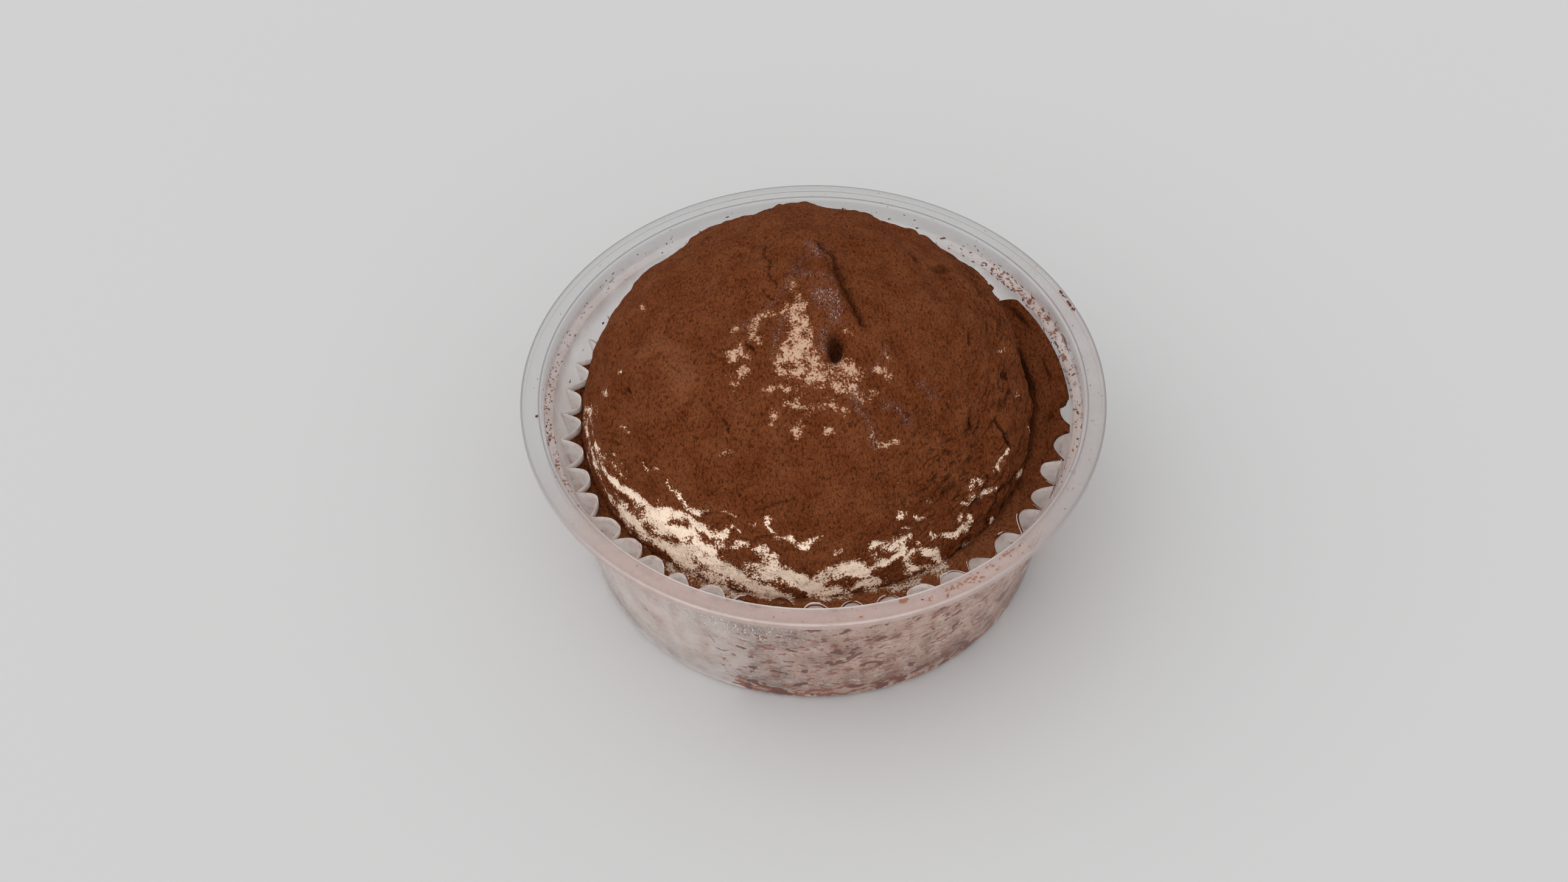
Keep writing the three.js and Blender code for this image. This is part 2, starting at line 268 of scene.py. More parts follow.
# ---- Material nodes ----
class Finish:
    """A material being made: its node tree, with short names for the nodes that it uses most. A
    value given to a node may be a socket, which is linked, or a number or colour, which is set."""

    def __init__(self, name):
        self.material = bpy.data.materials.new(name)
        self.material.use_nodes = True
        self.tree = self.material.node_tree
        self.tree.nodes.clear()
        self.place = self.node("TexCoord").outputs["Object"]

    def node(self, kind, inputs=None, **settings):
        made = self.tree.nodes.new("ShaderNode" + kind)
        for key, value in settings.items():
            setattr(made, key, value)
        for key, value in (inputs or {}).items():
            if isinstance(value, bpy.types.NodeSocket):
                self.tree.links.new(value, made.inputs[key])
            else:
                made.inputs[key].default_value = value
        return made

    def noise(self, size_mm, detail=2.0, roughness=0.5, stretch=None):
        """Noise with features about size_mm across, stretched along the axes by the given factors."""
        place = self.place
        if stretch:
            scale = [1 / s for s in stretch]
            place = self.node("Mapping", {"Vector": place, "Scale": scale}).outputs[0]
        return self.noise_at(place, 1 / (size_mm * MM), detail, roughness)

    def noise_at(self, place, scale, detail, roughness):
        """Noise with one feature to each unit of place times scale."""
        inputs = {"Vector": place, "Scale": scale, "Detail": detail, "Roughness": roughness}
        return self.node("TexNoise", inputs).outputs["Fac"]

    def attribute(self, name):
        return self.node("Attribute", attribute_name=name).outputs["Fac"]

    def math(self, operation, a, b, clamp=False):
        return self.node("Math", {0: a, 1: b}, operation=operation, use_clamp=clamp).outputs[0]

    def times(self, a, b):
        return self.math("MULTIPLY", a, b)

    def minus(self, a, b):
        return self.math("SUBTRACT", a, b)

    def plus(self, total, *terms):
        for term in terms:
            total = self.math("ADD", total, term)
        return total

    def ramp(self, value, low, high):
        """0 below low, 1 above high and smooth between them."""
        inputs = {"Value": value, "From Min": low, "From Max": high}
        return self.node("MapRange", inputs, interpolation_type="SMOOTHSTEP").outputs[0]

    def blend(self, a, b, share, strength=None):
        """Colour a turning to colour b as share, times the strength if one is given, goes from 0 to 1."""
        if strength:
            share = self.times(share, strength)
        factor, first, second = 0, 6, 7
        return self.node("Mix", {factor: share, first: a, second: b}, data_type="RGBA").outputs[2]

    def bump(self, height, depth_mm, strength=1.0, under=None):
        inputs = {"Height": height, "Distance": depth_mm * MM, "Strength": strength}
        if under:
            inputs["Normal"] = under
        return self.node("Bump", inputs).outputs[0]

    def surface(self, inputs):
        shader = self.node("BsdfPrincipled", inputs)
        self.node("OutputMaterial", {"Surface": shader.outputs[0]})
        return self.material


def colour(red, green, blue):
    """The linear colour of a screen colour from 0 to 255."""
    parts = [c / 255 for c in (red, green, blue)]
    linear = [c / 12.92 if c <= 0.04045 else ((c + 0.055) / 1.055) ** 2.4 for c in parts]
    return (*linear, 1.0)


COCOA_DEEP = colour(125, 63, 31)
COCOA_DUSTY = colour(148, 84, 49)
COCOA_PALE = colour(160, 97, 62)
COCOA_SHADE = colour(48, 20, 7)
CREAM = colour(255, 232, 209)
CREAM_TAN = colour(204, 168, 142)
CREAM_UNDER_COCOA = colour(176, 112, 76)
FROST_WHITE = colour(222, 200, 202)
FROST_HAZE = colour(140, 106, 100)
PAPER_WHITE = colour(232, 225, 221)
PAPER_STAIN = colour(168, 116, 92)
PLASTIC_WHITE = colour(172, 171, 170)
PLASTIC_FILM = colour(200, 176, 168)
PLASTIC_PALE = colour(226, 214, 208)
REFRACTION_LINE_GREY = colour(122, 115, 122)
PLASTIC_DUST = colour(232, 200, 184)
PLASTIC_STAIN = colour(138, 83, 64)
PLASTIC_SPLASH = colour(106, 57, 45)
PAINTED_HIGHLIGHT_WHITE = colour(250, 247, 245)
SMEAR_THICK = colour(84, 34, 18)
SMEAR_THIN = colour(178, 116, 86)
DRY = {"Roughness": 0.95, "Specular IOR Level": 0.05}


def cocoa_powder(finish):
    """Colour and relief of packed cocoa: clumps of two browns, a fine grain a little longer down the ball
    than round it, and a few pores. Painted shade darkens the grain's low points and the pores."""
    clumps = finish.noise(5.0, 5, 0.62)
    grain = finish.noise(0.45, 3, 0.7, stretch=(1, 1.6, 1.6))
    pores = finish.ramp(finish.noise(0.6, 4, 0.75, stretch=(0.7, 1.3, 1.3)), 0.45, 0.32)
    hue = finish.blend(COCOA_DEEP, COCOA_DUSTY, finish.ramp(clumps, 0.30, 0.70))
    hue = finish.blend(hue, COCOA_DUSTY, finish.ramp(grain, 0.50, 0.66), 0.7)
    # Painted shade: the grain's low points and the pores are darkened with the shade brown.
    hue = finish.blend(hue, COCOA_SHADE, finish.ramp(grain, 0.50, 0.34), 0.30)
    hue = finish.blend(hue, COCOA_SHADE, pores, 0.5)
    rough = finish.plus(finish.times(finish.noise(1.1, 3, 0.65), 1.3), grain)
    return hue, finish.minus(rough, finish.times(pores, 0.7))


def creamed(finish, hue):
    """hue with cream over it where the cream attribute, broken up by noise, is high enough, and the
    share of cream. Fine crumbs of cocoa lie on the cream."""
    patches = finish.times(finish.minus(finish.noise(1.9, 5, 0.75), 0.5), 2.4)
    crumbs = finish.times(finish.minus(finish.noise(0.40, 2, 0.6), 0.5), 2.7)
    bare = finish.plus(patches, crumbs, finish.attribute("cream"))
    hue = finish.blend(hue, CREAM_UNDER_COCOA, finish.ramp(bare, -0.16, 0.22))
    clear = finish.ramp(bare, 0.0, 0.55)
    cream = finish.blend(CREAM, CREAM_TAN, finish.attribute("tan"))
    return finish.blend(hue, cream, clear), clear


def crust_finish():
    """Cocoa crust with bare cream where the cream attribute is high, frost where frost is high, and fine
    wrinkles round the ball where slip is high. Painted shade darkens the wrinkles, the cracks, the crease and
    the pit, and the frost's white specks are partly painted glints."""
    finish = Finish("cocoa_crust")
    hue, relief = cocoa_powder(finish)
    hue = finish.blend(hue, COCOA_PALE, finish.attribute("smooth"), 0.6)
    along_surface = {"X": finish.attribute("round"), "Y": finish.attribute("up")}
    unrolled = finish.node("CombineXYZ", along_surface).outputs[0]
    wrinkle = finish.ramp(finish.noise_at(unrolled, 1.0, 4.0, 0.6), 0.56, 0.68)
    wrinkle = finish.times(wrinkle, finish.attribute("slip"))
    # Painted shade darkens the wrinkles.
    hue = finish.blend(hue, COCOA_SHADE, wrinkle, 0.6)
    relief = finish.minus(relief, wrinkle)
    hue, clear = creamed(finish, hue)
    # Painted shade in the cracks, the crease and the pit.
    hue = finish.blend(hue, COCOA_SHADE, finish.attribute("crack_shade"), 0.8)
    frost = finish.attribute("frost")
    hue = finish.blend(hue, FROST_HAZE, frost, 0.16)
    crystals = finish.plus(finish.noise(0.34, 2, 0.7), finish.times(frost, 0.08))
    # White specks of frost crystals, partly painted glints.
    frost_glint = finish.times(finish.ramp(crystals, 0.64, 0.71), 0.8)
    hue = finish.blend(hue, FROST_WHITE, finish.math("MULTIPLY", frost_glint, frost, clamp=True))
    strength = finish.minus(1.0, finish.times(clear, 0.6))
    return finish.surface({**DRY, "Base Color": hue, "Normal": finish.bump(relief, 1.5, strength)})


def powder_finish():
    """Loose cocoa, painted paler towards the front where the smooth attribute is high, which is painted
    light, and darkened by painted shade along its furrow and ripples.
    """
    finish = Finish("loose_cocoa_powder")
    hue, relief = cocoa_powder(finish)
    # Painted light: paler towards the front.
    hue = finish.blend(hue, COCOA_PALE, finish.attribute("smooth"), 0.7)
    hue, _ = creamed(finish, hue)
    # Painted shade in the furrow and along the ripples.
    hue = finish.blend(hue, COCOA_SHADE, finish.attribute("crack_shade"), 0.7)
    return finish.surface({**DRY, "Base Color": hue, "Normal": finish.bump(relief, 1.4)})


def smear_finish():
    """Cocoa stuck to plastic, paler where the thin attribute is high."""
    finish = Finish("cocoa_smear")
    share = finish.plus(finish.attribute("thin"), finish.times(finish.noise(1.4, 3, 0.6), 0.4))
    return finish.surface(
        {
            "Base Color": finish.blend(SMEAR_THICK, SMEAR_THIN, finish.ramp(share, 0.15, 1.5)),
            "Roughness": 0.8,
            "Specular IOR Level": 0.25,
            "Normal": finish.bump(finish.noise(0.4, 2), 0.05, 0.6),
        }
    )


def paper_finish():
    """Thin white paper: faint fibres, a brown tinge of powder that near the edge is partly painted shade, and
    light let through.
    """
    finish = Finish("case_paper")
    dust_and_shade = finish.plus(finish.attribute("dust_and_shade"), finish.noise(2.4, 4, 0.65))
    fibres = finish.noise(0.3, 3, 0.6, stretch=(1, 1, 4))
    return finish.surface(
        {
            "Base Color": finish.blend(PAPER_WHITE, PAPER_STAIN, finish.ramp(dust_and_shade, 0.62, 1.25)),
            "Roughness": 0.72,
            "Specular IOR Level": 0.3,
            "Subsurface Weight": 0.25,
            "Subsurface Radius": (1.0, 0.9, 0.85),
            "Subsurface Scale": 0.6 * MM,
            "Normal": finish.bump(fibres, 0.03, 0.5),
        }
    )


def plastic_finish():
    """Thin clear plastic: nearly see-through face on and milky where it is seen edge on. Where the film
    attribute is high it is clouded by a thin pinkish coat of powder, where stain is high it has brown marks
    and splashes, and where wet is high it is rippled with drops painted white as highlights. It carries a
    painted highlight inside the mouth and a painted dark line round the mouth and the outer edge, standing in
    for the edge's refraction."""
    finish = Finish("clear_plastic")
    facing = finish.node("LayerWeight", {"Blend": 0.4}).outputs["Facing"]
    milk = finish.times(finish.math("POWER", facing, 2.5), 0.3)
    film = finish.times(finish.ramp(finish.noise(7, 3, 0.6), 0.1, 0.7), finish.attribute("film"))
    # The drops are rippled by a bump and painted white as their highlights.
    drops = finish.ramp(finish.noise(0.42, 2, stretch=(1, 1, 2.4)), 0.52, 0.64)
    drops = finish.times(drops, finish.attribute("wet"))
    dirt = finish.times(finish.attribute("stain"), 0.2)
    marks = finish.plus(finish.noise(1.5, 4, 0.6, stretch=(1.7, 1.7, 1)), dirt)
    marks = finish.ramp(marks, 0.71, 0.77)
    splashes = finish.plus(finish.noise(2.6, 2, 0.5, stretch=(1.4, 1.4, 1)), dirt)
    splashes = finish.ramp(splashes, 0.77, 0.80)
    # Painted highlight inside the mouth and on the near outer edge.
    painted_highlight = finish.attribute("painted_highlight")
    # Painted dark line round the mouth and the outer edge, standing in for the edge's refraction.
    line = finish.attribute("line")
    layers = ((drops, 0.4), (painted_highlight, 0.8), (marks, 0.5), (splashes, 0.5), (line, 0.85))
    cloud = finish.plus(film, *(finish.times(layer, share) for layer, share in layers))
    alpha = finish.math("ADD", finish.plus(milk, finish.attribute("body")), cloud, clamp=True)
    hue = finish.blend(PLASTIC_WHITE, PLASTIC_FILM, finish.attribute("tint"))
    hue = finish.blend(hue, PLASTIC_PALE, finish.attribute("pale"))
    hue = finish.blend(hue, PLASTIC_DUST, finish.attribute("warm"))
    hue = finish.blend(hue, PLASTIC_STAIN, marks)
    hue = finish.blend(hue, PLASTIC_SPLASH, splashes)
    hue = finish.blend(hue, REFRACTION_LINE_GREY, line)
    hue = finish.blend(hue, PAINTED_HIGHLIGHT_WHITE, finish.math("ADD", painted_highlight, drops, clamp=True))
    ripple = finish.bump(drops, 0.35)
    return finish.surface(
        {
            "Base Color": hue,
            "Roughness": 0.22,
            "Specular IOR Level": 0.6,
            "Alpha": alpha,
            "Normal": finish.bump(finish.noise(2.5, 2), 0.03, 0.4, under=ripple),
        }
    )


# ---- The tartufo ----
def base_ball(level, azimuth):
    """The even ball: an ellipsoid above its widest ring, and a superellipse of revolution below it."""
    below = level < 0
    power = np.where(below, 2 / BALL_SQUARENESS, 1.0)
    out = BALL_RADIUS * np.clip(np.cos(level), 0, 1) ** power
    up = np.where(below, BALL_BOTTOM - BALL_CENTRE[2], BALL_RISE)
    return polar(azimuth, out, up * np.abs(np.sin(level)) ** power)


def peak_height(x, y):
    """Height of the pulled peak: its crest's climb, times its slopes to each side and its back."""
    axis = PEAK_TIP - PEAK_TOE
    length = np.hypot(*axis)
    axis = axis / length
    along = (x - PEAK_TOE[0]) * axis[0] + (y - PEAK_TOE[1]) * axis[1]
    across = (x - PEAK_TOE[0]) * axis[1] - (y - PEAK_TOE[1]) * axis[0]
    share = np.clip(along / length, 0, 1)
    spread = np.where(across > 0, mix(*PEAK_RIGHT, share), mix(*PEAK_LEFT, share))
    slope = 1 - smoothstep(np.abs(across), 0, spread)
    drop = 1 - smoothstep(along - length, 0, PEAK_BACK)
    return PEAK_HEIGHT * share**PEAK_CLIMB * drop * slope


def pit_depth(x, y):
    """Depth of the pit: a bell over its width and its length."""
    across, along, depth = PIT_SIZE
    return depth * np.exp(-(((x - PIT_AT[0]) / across) ** 2) - ((y - PIT_AT[1]) / along) ** 2)


def ball_skin(level, azimuth):
    """The ball as the solid has it, the even ball with its lumps, its lean, its peak and its pit, and
    the direction away from the ball's centre."""
    even = base_ball(level, azimuth)
    away = even / np.linalg.norm(even, axis=-1, keepdims=True)
    exposed = smoothstep(level, math.radians(4), math.radians(16))
    uneven = sum(height * waves(even, size, count, seed) for size, height, count, seed in LUMPS)
    skin = even + away * (uneven * exposed)[..., None] + BALL_CENTRE
    skin[..., 0] += BALL_LEAN * np.clip(np.sin(level), 0, 1) ** 2
    on_crown = smoothstep(level, math.radians(40), math.radians(52))
    x, y = skin[..., 0].copy(), skin[..., 1].copy()
    skin[..., 2] += on_crown * (peak_height(x, y) - pit_depth(x, y))
    return skin, away


def in_photo(points):
    """Pixel of the photograph where each point falls: its offset from the camera's seat, divided by
    its depth along the camera's axis and multiplied by the focal length."""
    camera = bpy.context.scene.camera.matrix_world
    offset = (points - np.array(camera.translation) / MM) @ np.array(camera.to_3x3())
    share = FOCAL_PIXELS / -offset[..., 2]
    return np.stack([PHOTO[0] / 2 + offset[..., 0] * share, PHOTO[1] / 2 - offset[..., 1] * share], -1)


def inside_paths(points, paths):
    """How many of the photograph's pixels each point lies inside a path's border: half width less
    distance from the path, the most of all the paths, and negative beyond every border. Noise shifts
    the points first, so that the paths look torn."""
    pixels = in_photo(points)
    for size, shift, seed in ((4.0, 7.0, 81), (1.5, 4.0, 91)):
        pixels = pixels + shift * np.stack([noise(points, size, seed), noise(points, size, seed + 1)], -1)
    inside = np.full(len(points), -99.0)
    for half_width, *path in paths:
        path = np.array(path, float)
        for a, b in zip(path[:-1], path[1:]):
            step = b - a
            t = np.clip((pixels - a) @ step / max(step @ step, 1e-9), 0, 1)
            away = np.linalg.norm(pixels - a - t[:, None] * step, axis=1)
            inside = np.maximum(inside, half_width - away)
    return inside


# Marks on the ball: each is a half width and a path across the photograph, in its pixels. The first
# three lists are where cream shows through the cocoa.
FRONT_CREAM = (
    (7, (969, 672), (967, 701), (968, 717)),
    (9, (983, 734), (999, 755), (1014, 783), (1027, 803), (1042, 819)),
    (13, (1042, 819), (1055, 835), (1068, 843), (1082, 846)),
    (7, (973, 742), (981, 760), (995, 775), (1009, 793), (1019, 813), (1029, 829)),
    (3, (976, 762), (986, 788), (996, 808), (1005, 829)),
    (7, (1016, 836), (1029, 852)),
    (7, (1078, 844), (1093, 840), (1108, 844), (1129, 843), (1141, 857), (1152, 864)),
    (5, (1080, 829), (1093, 841)),
    (8, (1037, 857), (1047, 870), (1057, 880), (1078, 893), (1098, 900), (1106, 905)),
    (9, (1042, 849), (1060, 857), (1078, 864), (1086, 868)),
    (13, (1086, 868), (1100, 873), (1113, 875), (1122, 883)),
    (7, (1139, 870), (1144, 885), (1157, 898), (1170, 908)),
    (4, (1157, 870), (1170, 885), (1185, 880), (1195, 877)),
    (6, (1180, 884), (1192, 882)),
    (4, (1170, 887), (1190, 900), (1210, 900), (1228, 895)),
    (14, (1119, 908), (1134, 912), (1157, 920), (1175, 927), (1190, 936), (1205, 944), (1213, 951)),
    (13, (1113, 916), (1124, 928), (1139, 936), (1170, 946), (1185, 956)),
    (7, (1098, 931), (1113, 941)),
    (7, (1157, 954), (1167, 961)),
    (14, (1248, 908), (1256, 916), (1270, 921)),
    (13, (1232, 931), (1246, 938), (1272, 944), (1297, 950), (1318, 956), (1334, 964)),
    (10, (1215, 954), (1233, 960), (1259, 969), (1284, 979)),
    (9, (1269, 972), (1292, 982)),
    (6, (1198, 974), (1220, 977)),
    (12, (1327, 964), (1346, 952), (1365, 944), (1387, 938), (1409, 938), (1422, 940)),
    (6, (1425, 939), (1441, 930), (1467, 923), (1486, 911), (1492, 901)),
    (7, (1330, 971), (1362, 973), (1393, 971), (1416, 961), (1438, 959)),
    (4, (1432, 908), (1438, 898), (1454, 903), (1473, 895), (1496, 885)),
    (6, (1496, 920), (1508, 908), (1518, 901), (1531, 908), (1537, 920), (1550, 932)),
    (5, (1499, 936), (1521, 933), (1537, 927), (1547, 939)),
    (4, (1460, 965), (1480, 959), (1505, 949)),
)
THIN_CREAM = (
    (4, (1098, 790), (1106, 803), (1119, 819), (1131, 830), (1149, 838), (1165, 839)),
    (4, (1190, 844), (1208, 852)),
    (3, (1080, 770), (1085, 778)),
    (2, (1056, 762), (1068, 780)),
    (4, (1180, 752), (1200, 747)),
    (4, (992, 648), (995, 655)),
    (3, (1024, 705), (1029, 713)),
    (3, (1008, 750), (1014, 760)),
    (3, (1205, 871), (1218, 875)),
    (2, (1233, 862), (1241, 864)),
    (5, (1263, 846), (1263, 859), (1274, 877), (1279, 885), (1297, 881), (1307, 893)),
    (4, (1307, 893), (1323, 895), (1338, 887), (1349, 881)),
    (3, (1473, 848), (1486, 845)),
    (3, (1502, 855), (1516, 855)),
    (3, (1524, 817), (1532, 820)),
    (2, (1464, 793), (1472, 791)),
    (2, (1483, 869), (1500, 869)),
    (3, (1371, 907), (1378, 904)),
    (6, (1537, 879), (1556, 882), (1572, 874), (1588, 863), (1591, 855)),
    (3, (1578, 847), (1575, 857)),
    (4, (1582, 826), (1593, 833), (1601, 818), (1617, 805), (1634, 802)),
    (3, (1574, 895), (1582, 898), (1594, 888), (1604, 882)),
    (3, (1629, 869), (1633, 852)),
    (4, (1598, 802), (1606, 786)),
    (4, (1637, 768), (1646, 758), (1657, 740)),
    (4, (1672, 785), (1683, 766), (1692, 740), (1695, 700)),
    (3, (1646, 577), (1656, 573)),
    (2, (1672, 640), (1676, 652)),
    (4, (1053, 503), (1056, 506)),
    (3, (1012, 609), (1014, 614)),
)
CROWN_CREAM = (
    (6, (1297, 456), (1297, 477), (1306, 491)),
    (21, (1308, 512), (1311, 530), (1316, 554), (1311, 579), (1306, 592)),
    (18, (1284, 600), (1316, 606), (1355, 611), (1389, 608), (1406, 610)),
    (15, (1335, 588), (1360, 622), (1398, 637)),
    (7, (1258, 642), (1282, 634), (1309, 637), (1309, 654)),
    (7, (1292, 664), (1326, 673), (1348, 664), (1364, 659), (1381, 668), (1392, 682)),
    (7, (1275, 684), (1276, 690)),
    (8, (1357, 706), (1366, 702)),
    (5, (1311, 697), (1304, 707)),
    (7, (1202, 629), (1203, 633)),
    (7, (1226, 605), (1214, 620)),
    (8, (1205, 586), (1217, 577), (1227, 586)),
    (7, (1236, 540), (1243, 553)),
    (4, (1214, 540), (1207, 547)),
    (5, (1236, 525), (1270, 516), (1290, 504)),
    (10, (1418, 650), (1430, 644)),
    (9, (1440, 610), (1454, 617)),
    (3, (1437, 712), (1442, 731), (1466, 722)),
    (5, (1394, 547), (1398, 549)),
    (3, (1456, 584), (1458, 588)),
)
FROST = (
    (9, (1330, 396), (1348, 409), (1340, 414)),
    (3, (1321, 421), (1304, 436), (1297, 450), (1282, 477), (1265, 496), (1246, 523), (1221, 538)),
    (6, (1306, 446), (1323, 451)),
    (6, (1347, 455), (1364, 458)),
    (14, (1345, 486), (1368, 492), (1376, 520)),
    (5, (1280, 525), (1277, 559), (1272, 581)),
    (8, (1352, 540), (1354, 575)),
    (5, (1406, 636), (1406, 659), (1411, 673), (1423, 690), (1435, 705), (1442, 731)),
    (6, (1452, 661), (1471, 668), (1483, 683), (1491, 697)),
    (5, (1517, 625), (1522, 634), (1532, 649)),
    (4, (1430, 608), (1445, 590), (1459, 574)),
)
CREASE = ((6, (1348, 396), (1365, 424), (1377, 448), (1384, 470), (1398, 494), (1408, 515), (1415, 532)),)
FINE_CRACKS = (
    (2.5, (1260, 404), (1259, 428), (1265, 450), (1272, 457)),
    (2.5, (1254, 472), (1263, 492)),
    (4, (1232, 568), (1235, 574)),
    (2.5, (1190, 690), (1196, 712)),
    (3, (1496, 420), (1503, 426)),
    (2.5, (1035, 640), (1042, 646)),
    (3, (1622, 840), (1650, 800), (1668, 790)),
    (3, (1600, 895), (1640, 862), (1668, 815)),
    (2.5, (1570, 905), (1592, 892), (1610, 880)),
    (2.5, (1640, 850), (1655, 825), (1660, 800)),
    (2.5, (1590, 687), (1597, 706), (1586, 715)),
    (2.5, (1611, 696), (1602, 715)),
    (3, (1638, 692), (1661, 733), (1663, 742)),
    (3, (1622, 779), (1611, 815), (1597, 843)),
    (3, (1684, 797), (1675, 824), (1661, 838), (1643, 852)),
    (2.5, (1670, 779), (1661, 806)),
    (2.5, (1551, 747), (1560, 740)),
    (2.5, (1565, 760), (1574, 754)),
    (2.5, (1629, 838), (1622, 861)),
    (2.5, (1588, 550), (1590, 564)),
    (2.5, (1618, 532), (1624, 550)),
    (3, (1652, 605), (1661, 633)),
)
SMOOTH_PATCH = (
    (16, (1052, 580), (1072, 569), (1090, 566)),
    (20, (1100, 572), (1122, 582)),
    (30, (1108, 608), (1126, 622)),
    (20, (1118, 640), (1122, 655)),
)


def bareness(skin, even, around, height, facing):
    """How bare of cocoa each point is. Inside the cream's paths it grows with the distance from their
    border, up to a limit, and noise adds to it: threads of powder, which lie along the streaks and so
    are long round the ball, and spots. No cream is bare on the side that the photograph doesn't show."""
    threads = drawn_out(around, height, 0 * height, (6, 1.6), 31)
    spots = 1.2 * layered(even, 2.4, 35, 3, 0.8)
    lowest = smoothstep(-skin[:, 1], 24, 38)
    front = inside_paths(skin, FRONT_CREAM) / 9 - 0.20 + 0.32 * lowest
    front = np.clip(front, -1.5, 0.26 + 0.40 * lowest) + (0.85 - 0.45 * lowest) * threads
    thin = np.clip(inside_paths(skin, THIN_CREAM) / 7 - 0.10, -1.5, 0.40)
    crown = np.clip(inside_paths(skin, CROWN_CREAM) / 14 - 0.2, -1.5, 0.30)
    cream = np.maximum(np.maximum(front, thin) + 0.5 * spots, crown + 0.75 * spots)
    return np.clip(cream, -1, 1.2) - 1.5 * (1 - facing)


def dressed_ball(level, azimuth):
    """The ball's skin with its fine relief, and how creamy, frosty or smooth each point is and how much
    painted shade darkens it in its cracks, its crease and its pit. The relief is three sizes of noise and the
    slipped folds, less the cracks, the groove and the cream."""
    skin, away = (part.reshape(-1, 3) for part in ball_skin(level, azimuth))
    even = (base_ball(level, azimuth) + BALL_CENTRE).reshape(-1, 3)
    azimuth = np.broadcast_to(azimuth, level.shape).ravel()
    level = level.ravel()
    # Coordinates that follow the surface: round it, and up it.
    around = azimuth * BALL_RADIUS * np.clip(np.cos(level), 0.1, 1)
    height = level * BALL_RADIUS

    camera_up = math.radians(CAMERA_ELEVATION)
    facing = smoothstep(away @ np.array([0, -math.cos(camera_up), math.sin(camera_up)]), 0.02, 0.2)
    smooth = smoothstep(inside_paths(skin, SMOOTH_PATCH), 0, 18) * facing
    frost = np.clip(0.5 + inside_paths(skin, FROST) / 14, 0, 1) * facing
    groove = np.clip(inside_paths(skin, CREASE) / 6, 0, 1) * facing
    fine_cracks = np.clip(inside_paths(skin, FINE_CRACKS) / 2, 0, 1) * facing
    cream = bareness(skin, even, around, height, facing)

    # Cracks run down the side, and on the right the crust has slipped in folds along its edge.
    sway = 1.6 * noise(even, 5.0, 42)
    vertical = drawn_out(around, height, sway, (1.5, 4.0), 41)
    often = smoothstep(noise(even, 8.0, 43), -0.3, 0.5)
    on_crown = smoothstep(level, math.radians(50), math.radians(70))
    cracks = smoothstep(vertical, 0.50, 0.80) * often * (1 - on_crown)
    right = window(signed_degrees(azimuth), -75, -45, 30, 60)
    slipped = right * (1 - smoothstep(np.degrees(level), 30, 48))
    wobble = 2.5 * noise(even, 9.0, 47)
    folds = drawn_out(around, height, wobble, (6, 1.7), 51)
    fold_cracks = smoothstep(folds, 0.48, 0.75) * slipped

    relief = 0.42 * noise(even, 6.0, 11) + 0.36 * noise(even, 3.0, 12) + 0.28 * noise(even, 1.5, 13)
    relief = relief * (1 - 0.75 * smooth) + slipped * 0.7 * folds
    relief = relief - 0.35 * cracks - 0.5 * fold_cracks - 0.5 * fine_cracks - 1.1 * groove
    relief = relief - 0.14 * smoothstep(cream, 0.1, 0.4)
    shown = smoothstep(level, math.radians(-2), math.radians(8))
    skin = skin + away * (relief * shown)[:, None]

    pit = smoothstep(pit_depth(skin[:, 0], skin[:, 1]) / PIT_SIZE[2], 0.2, 0.75)
    return skin, {
        "cream": cream,
        "frost": frost,
        # Painted shade: dark in the cracks, the folds' cracks, the crease's groove and the pit.
        "crack_shade": np.clip(0.6 * cracks + 0.7 * fold_cracks + fine_cracks + 0.8 * groove + 1.4 * pit, 0, 1),
        "smooth": smooth,
        "tan": smoothstep(level, math.radians(34), math.radians(46)),
        "slip": slipped * (1 - smoothstep(cream, -0.1, 0.2)),
        "round": (around + wobble) / 3.6,
        "up": (height + wobble) / 0.8,
    }


def square_to_disc(side):
    """A square grid mapped onto a disc ring by ring: its radius from 0 to 1, and its azimuth."""
    a, b = np.meshgrid(np.linspace(-1, 1, side), np.linspace(-1, 1, side), indexing="ij")
    wide = np.abs(a) > np.abs(b)
    radius = np.where(wide, a, b)
    safe = np.where(radius == 0, 1, radius)
    turn = np.where(wide, math.pi / 4 * b / safe, math.pi / 2 - math.pi / 4 * a / safe)
    return np.abs(radius), np.where(radius < 0, turn + math.pi, turn)


def outward(points, faces, centre):
    """The same faces, or all of them turned over if on the whole they face the centre."""
    a, b, c = (points[faces[:, k]] for k in range(3))
    normal = np.cross(b - a, c - a)
    facing = (normal * (a - centre)).sum(1).sum()
    return faces if facing > 0 else faces[:, ::-1]


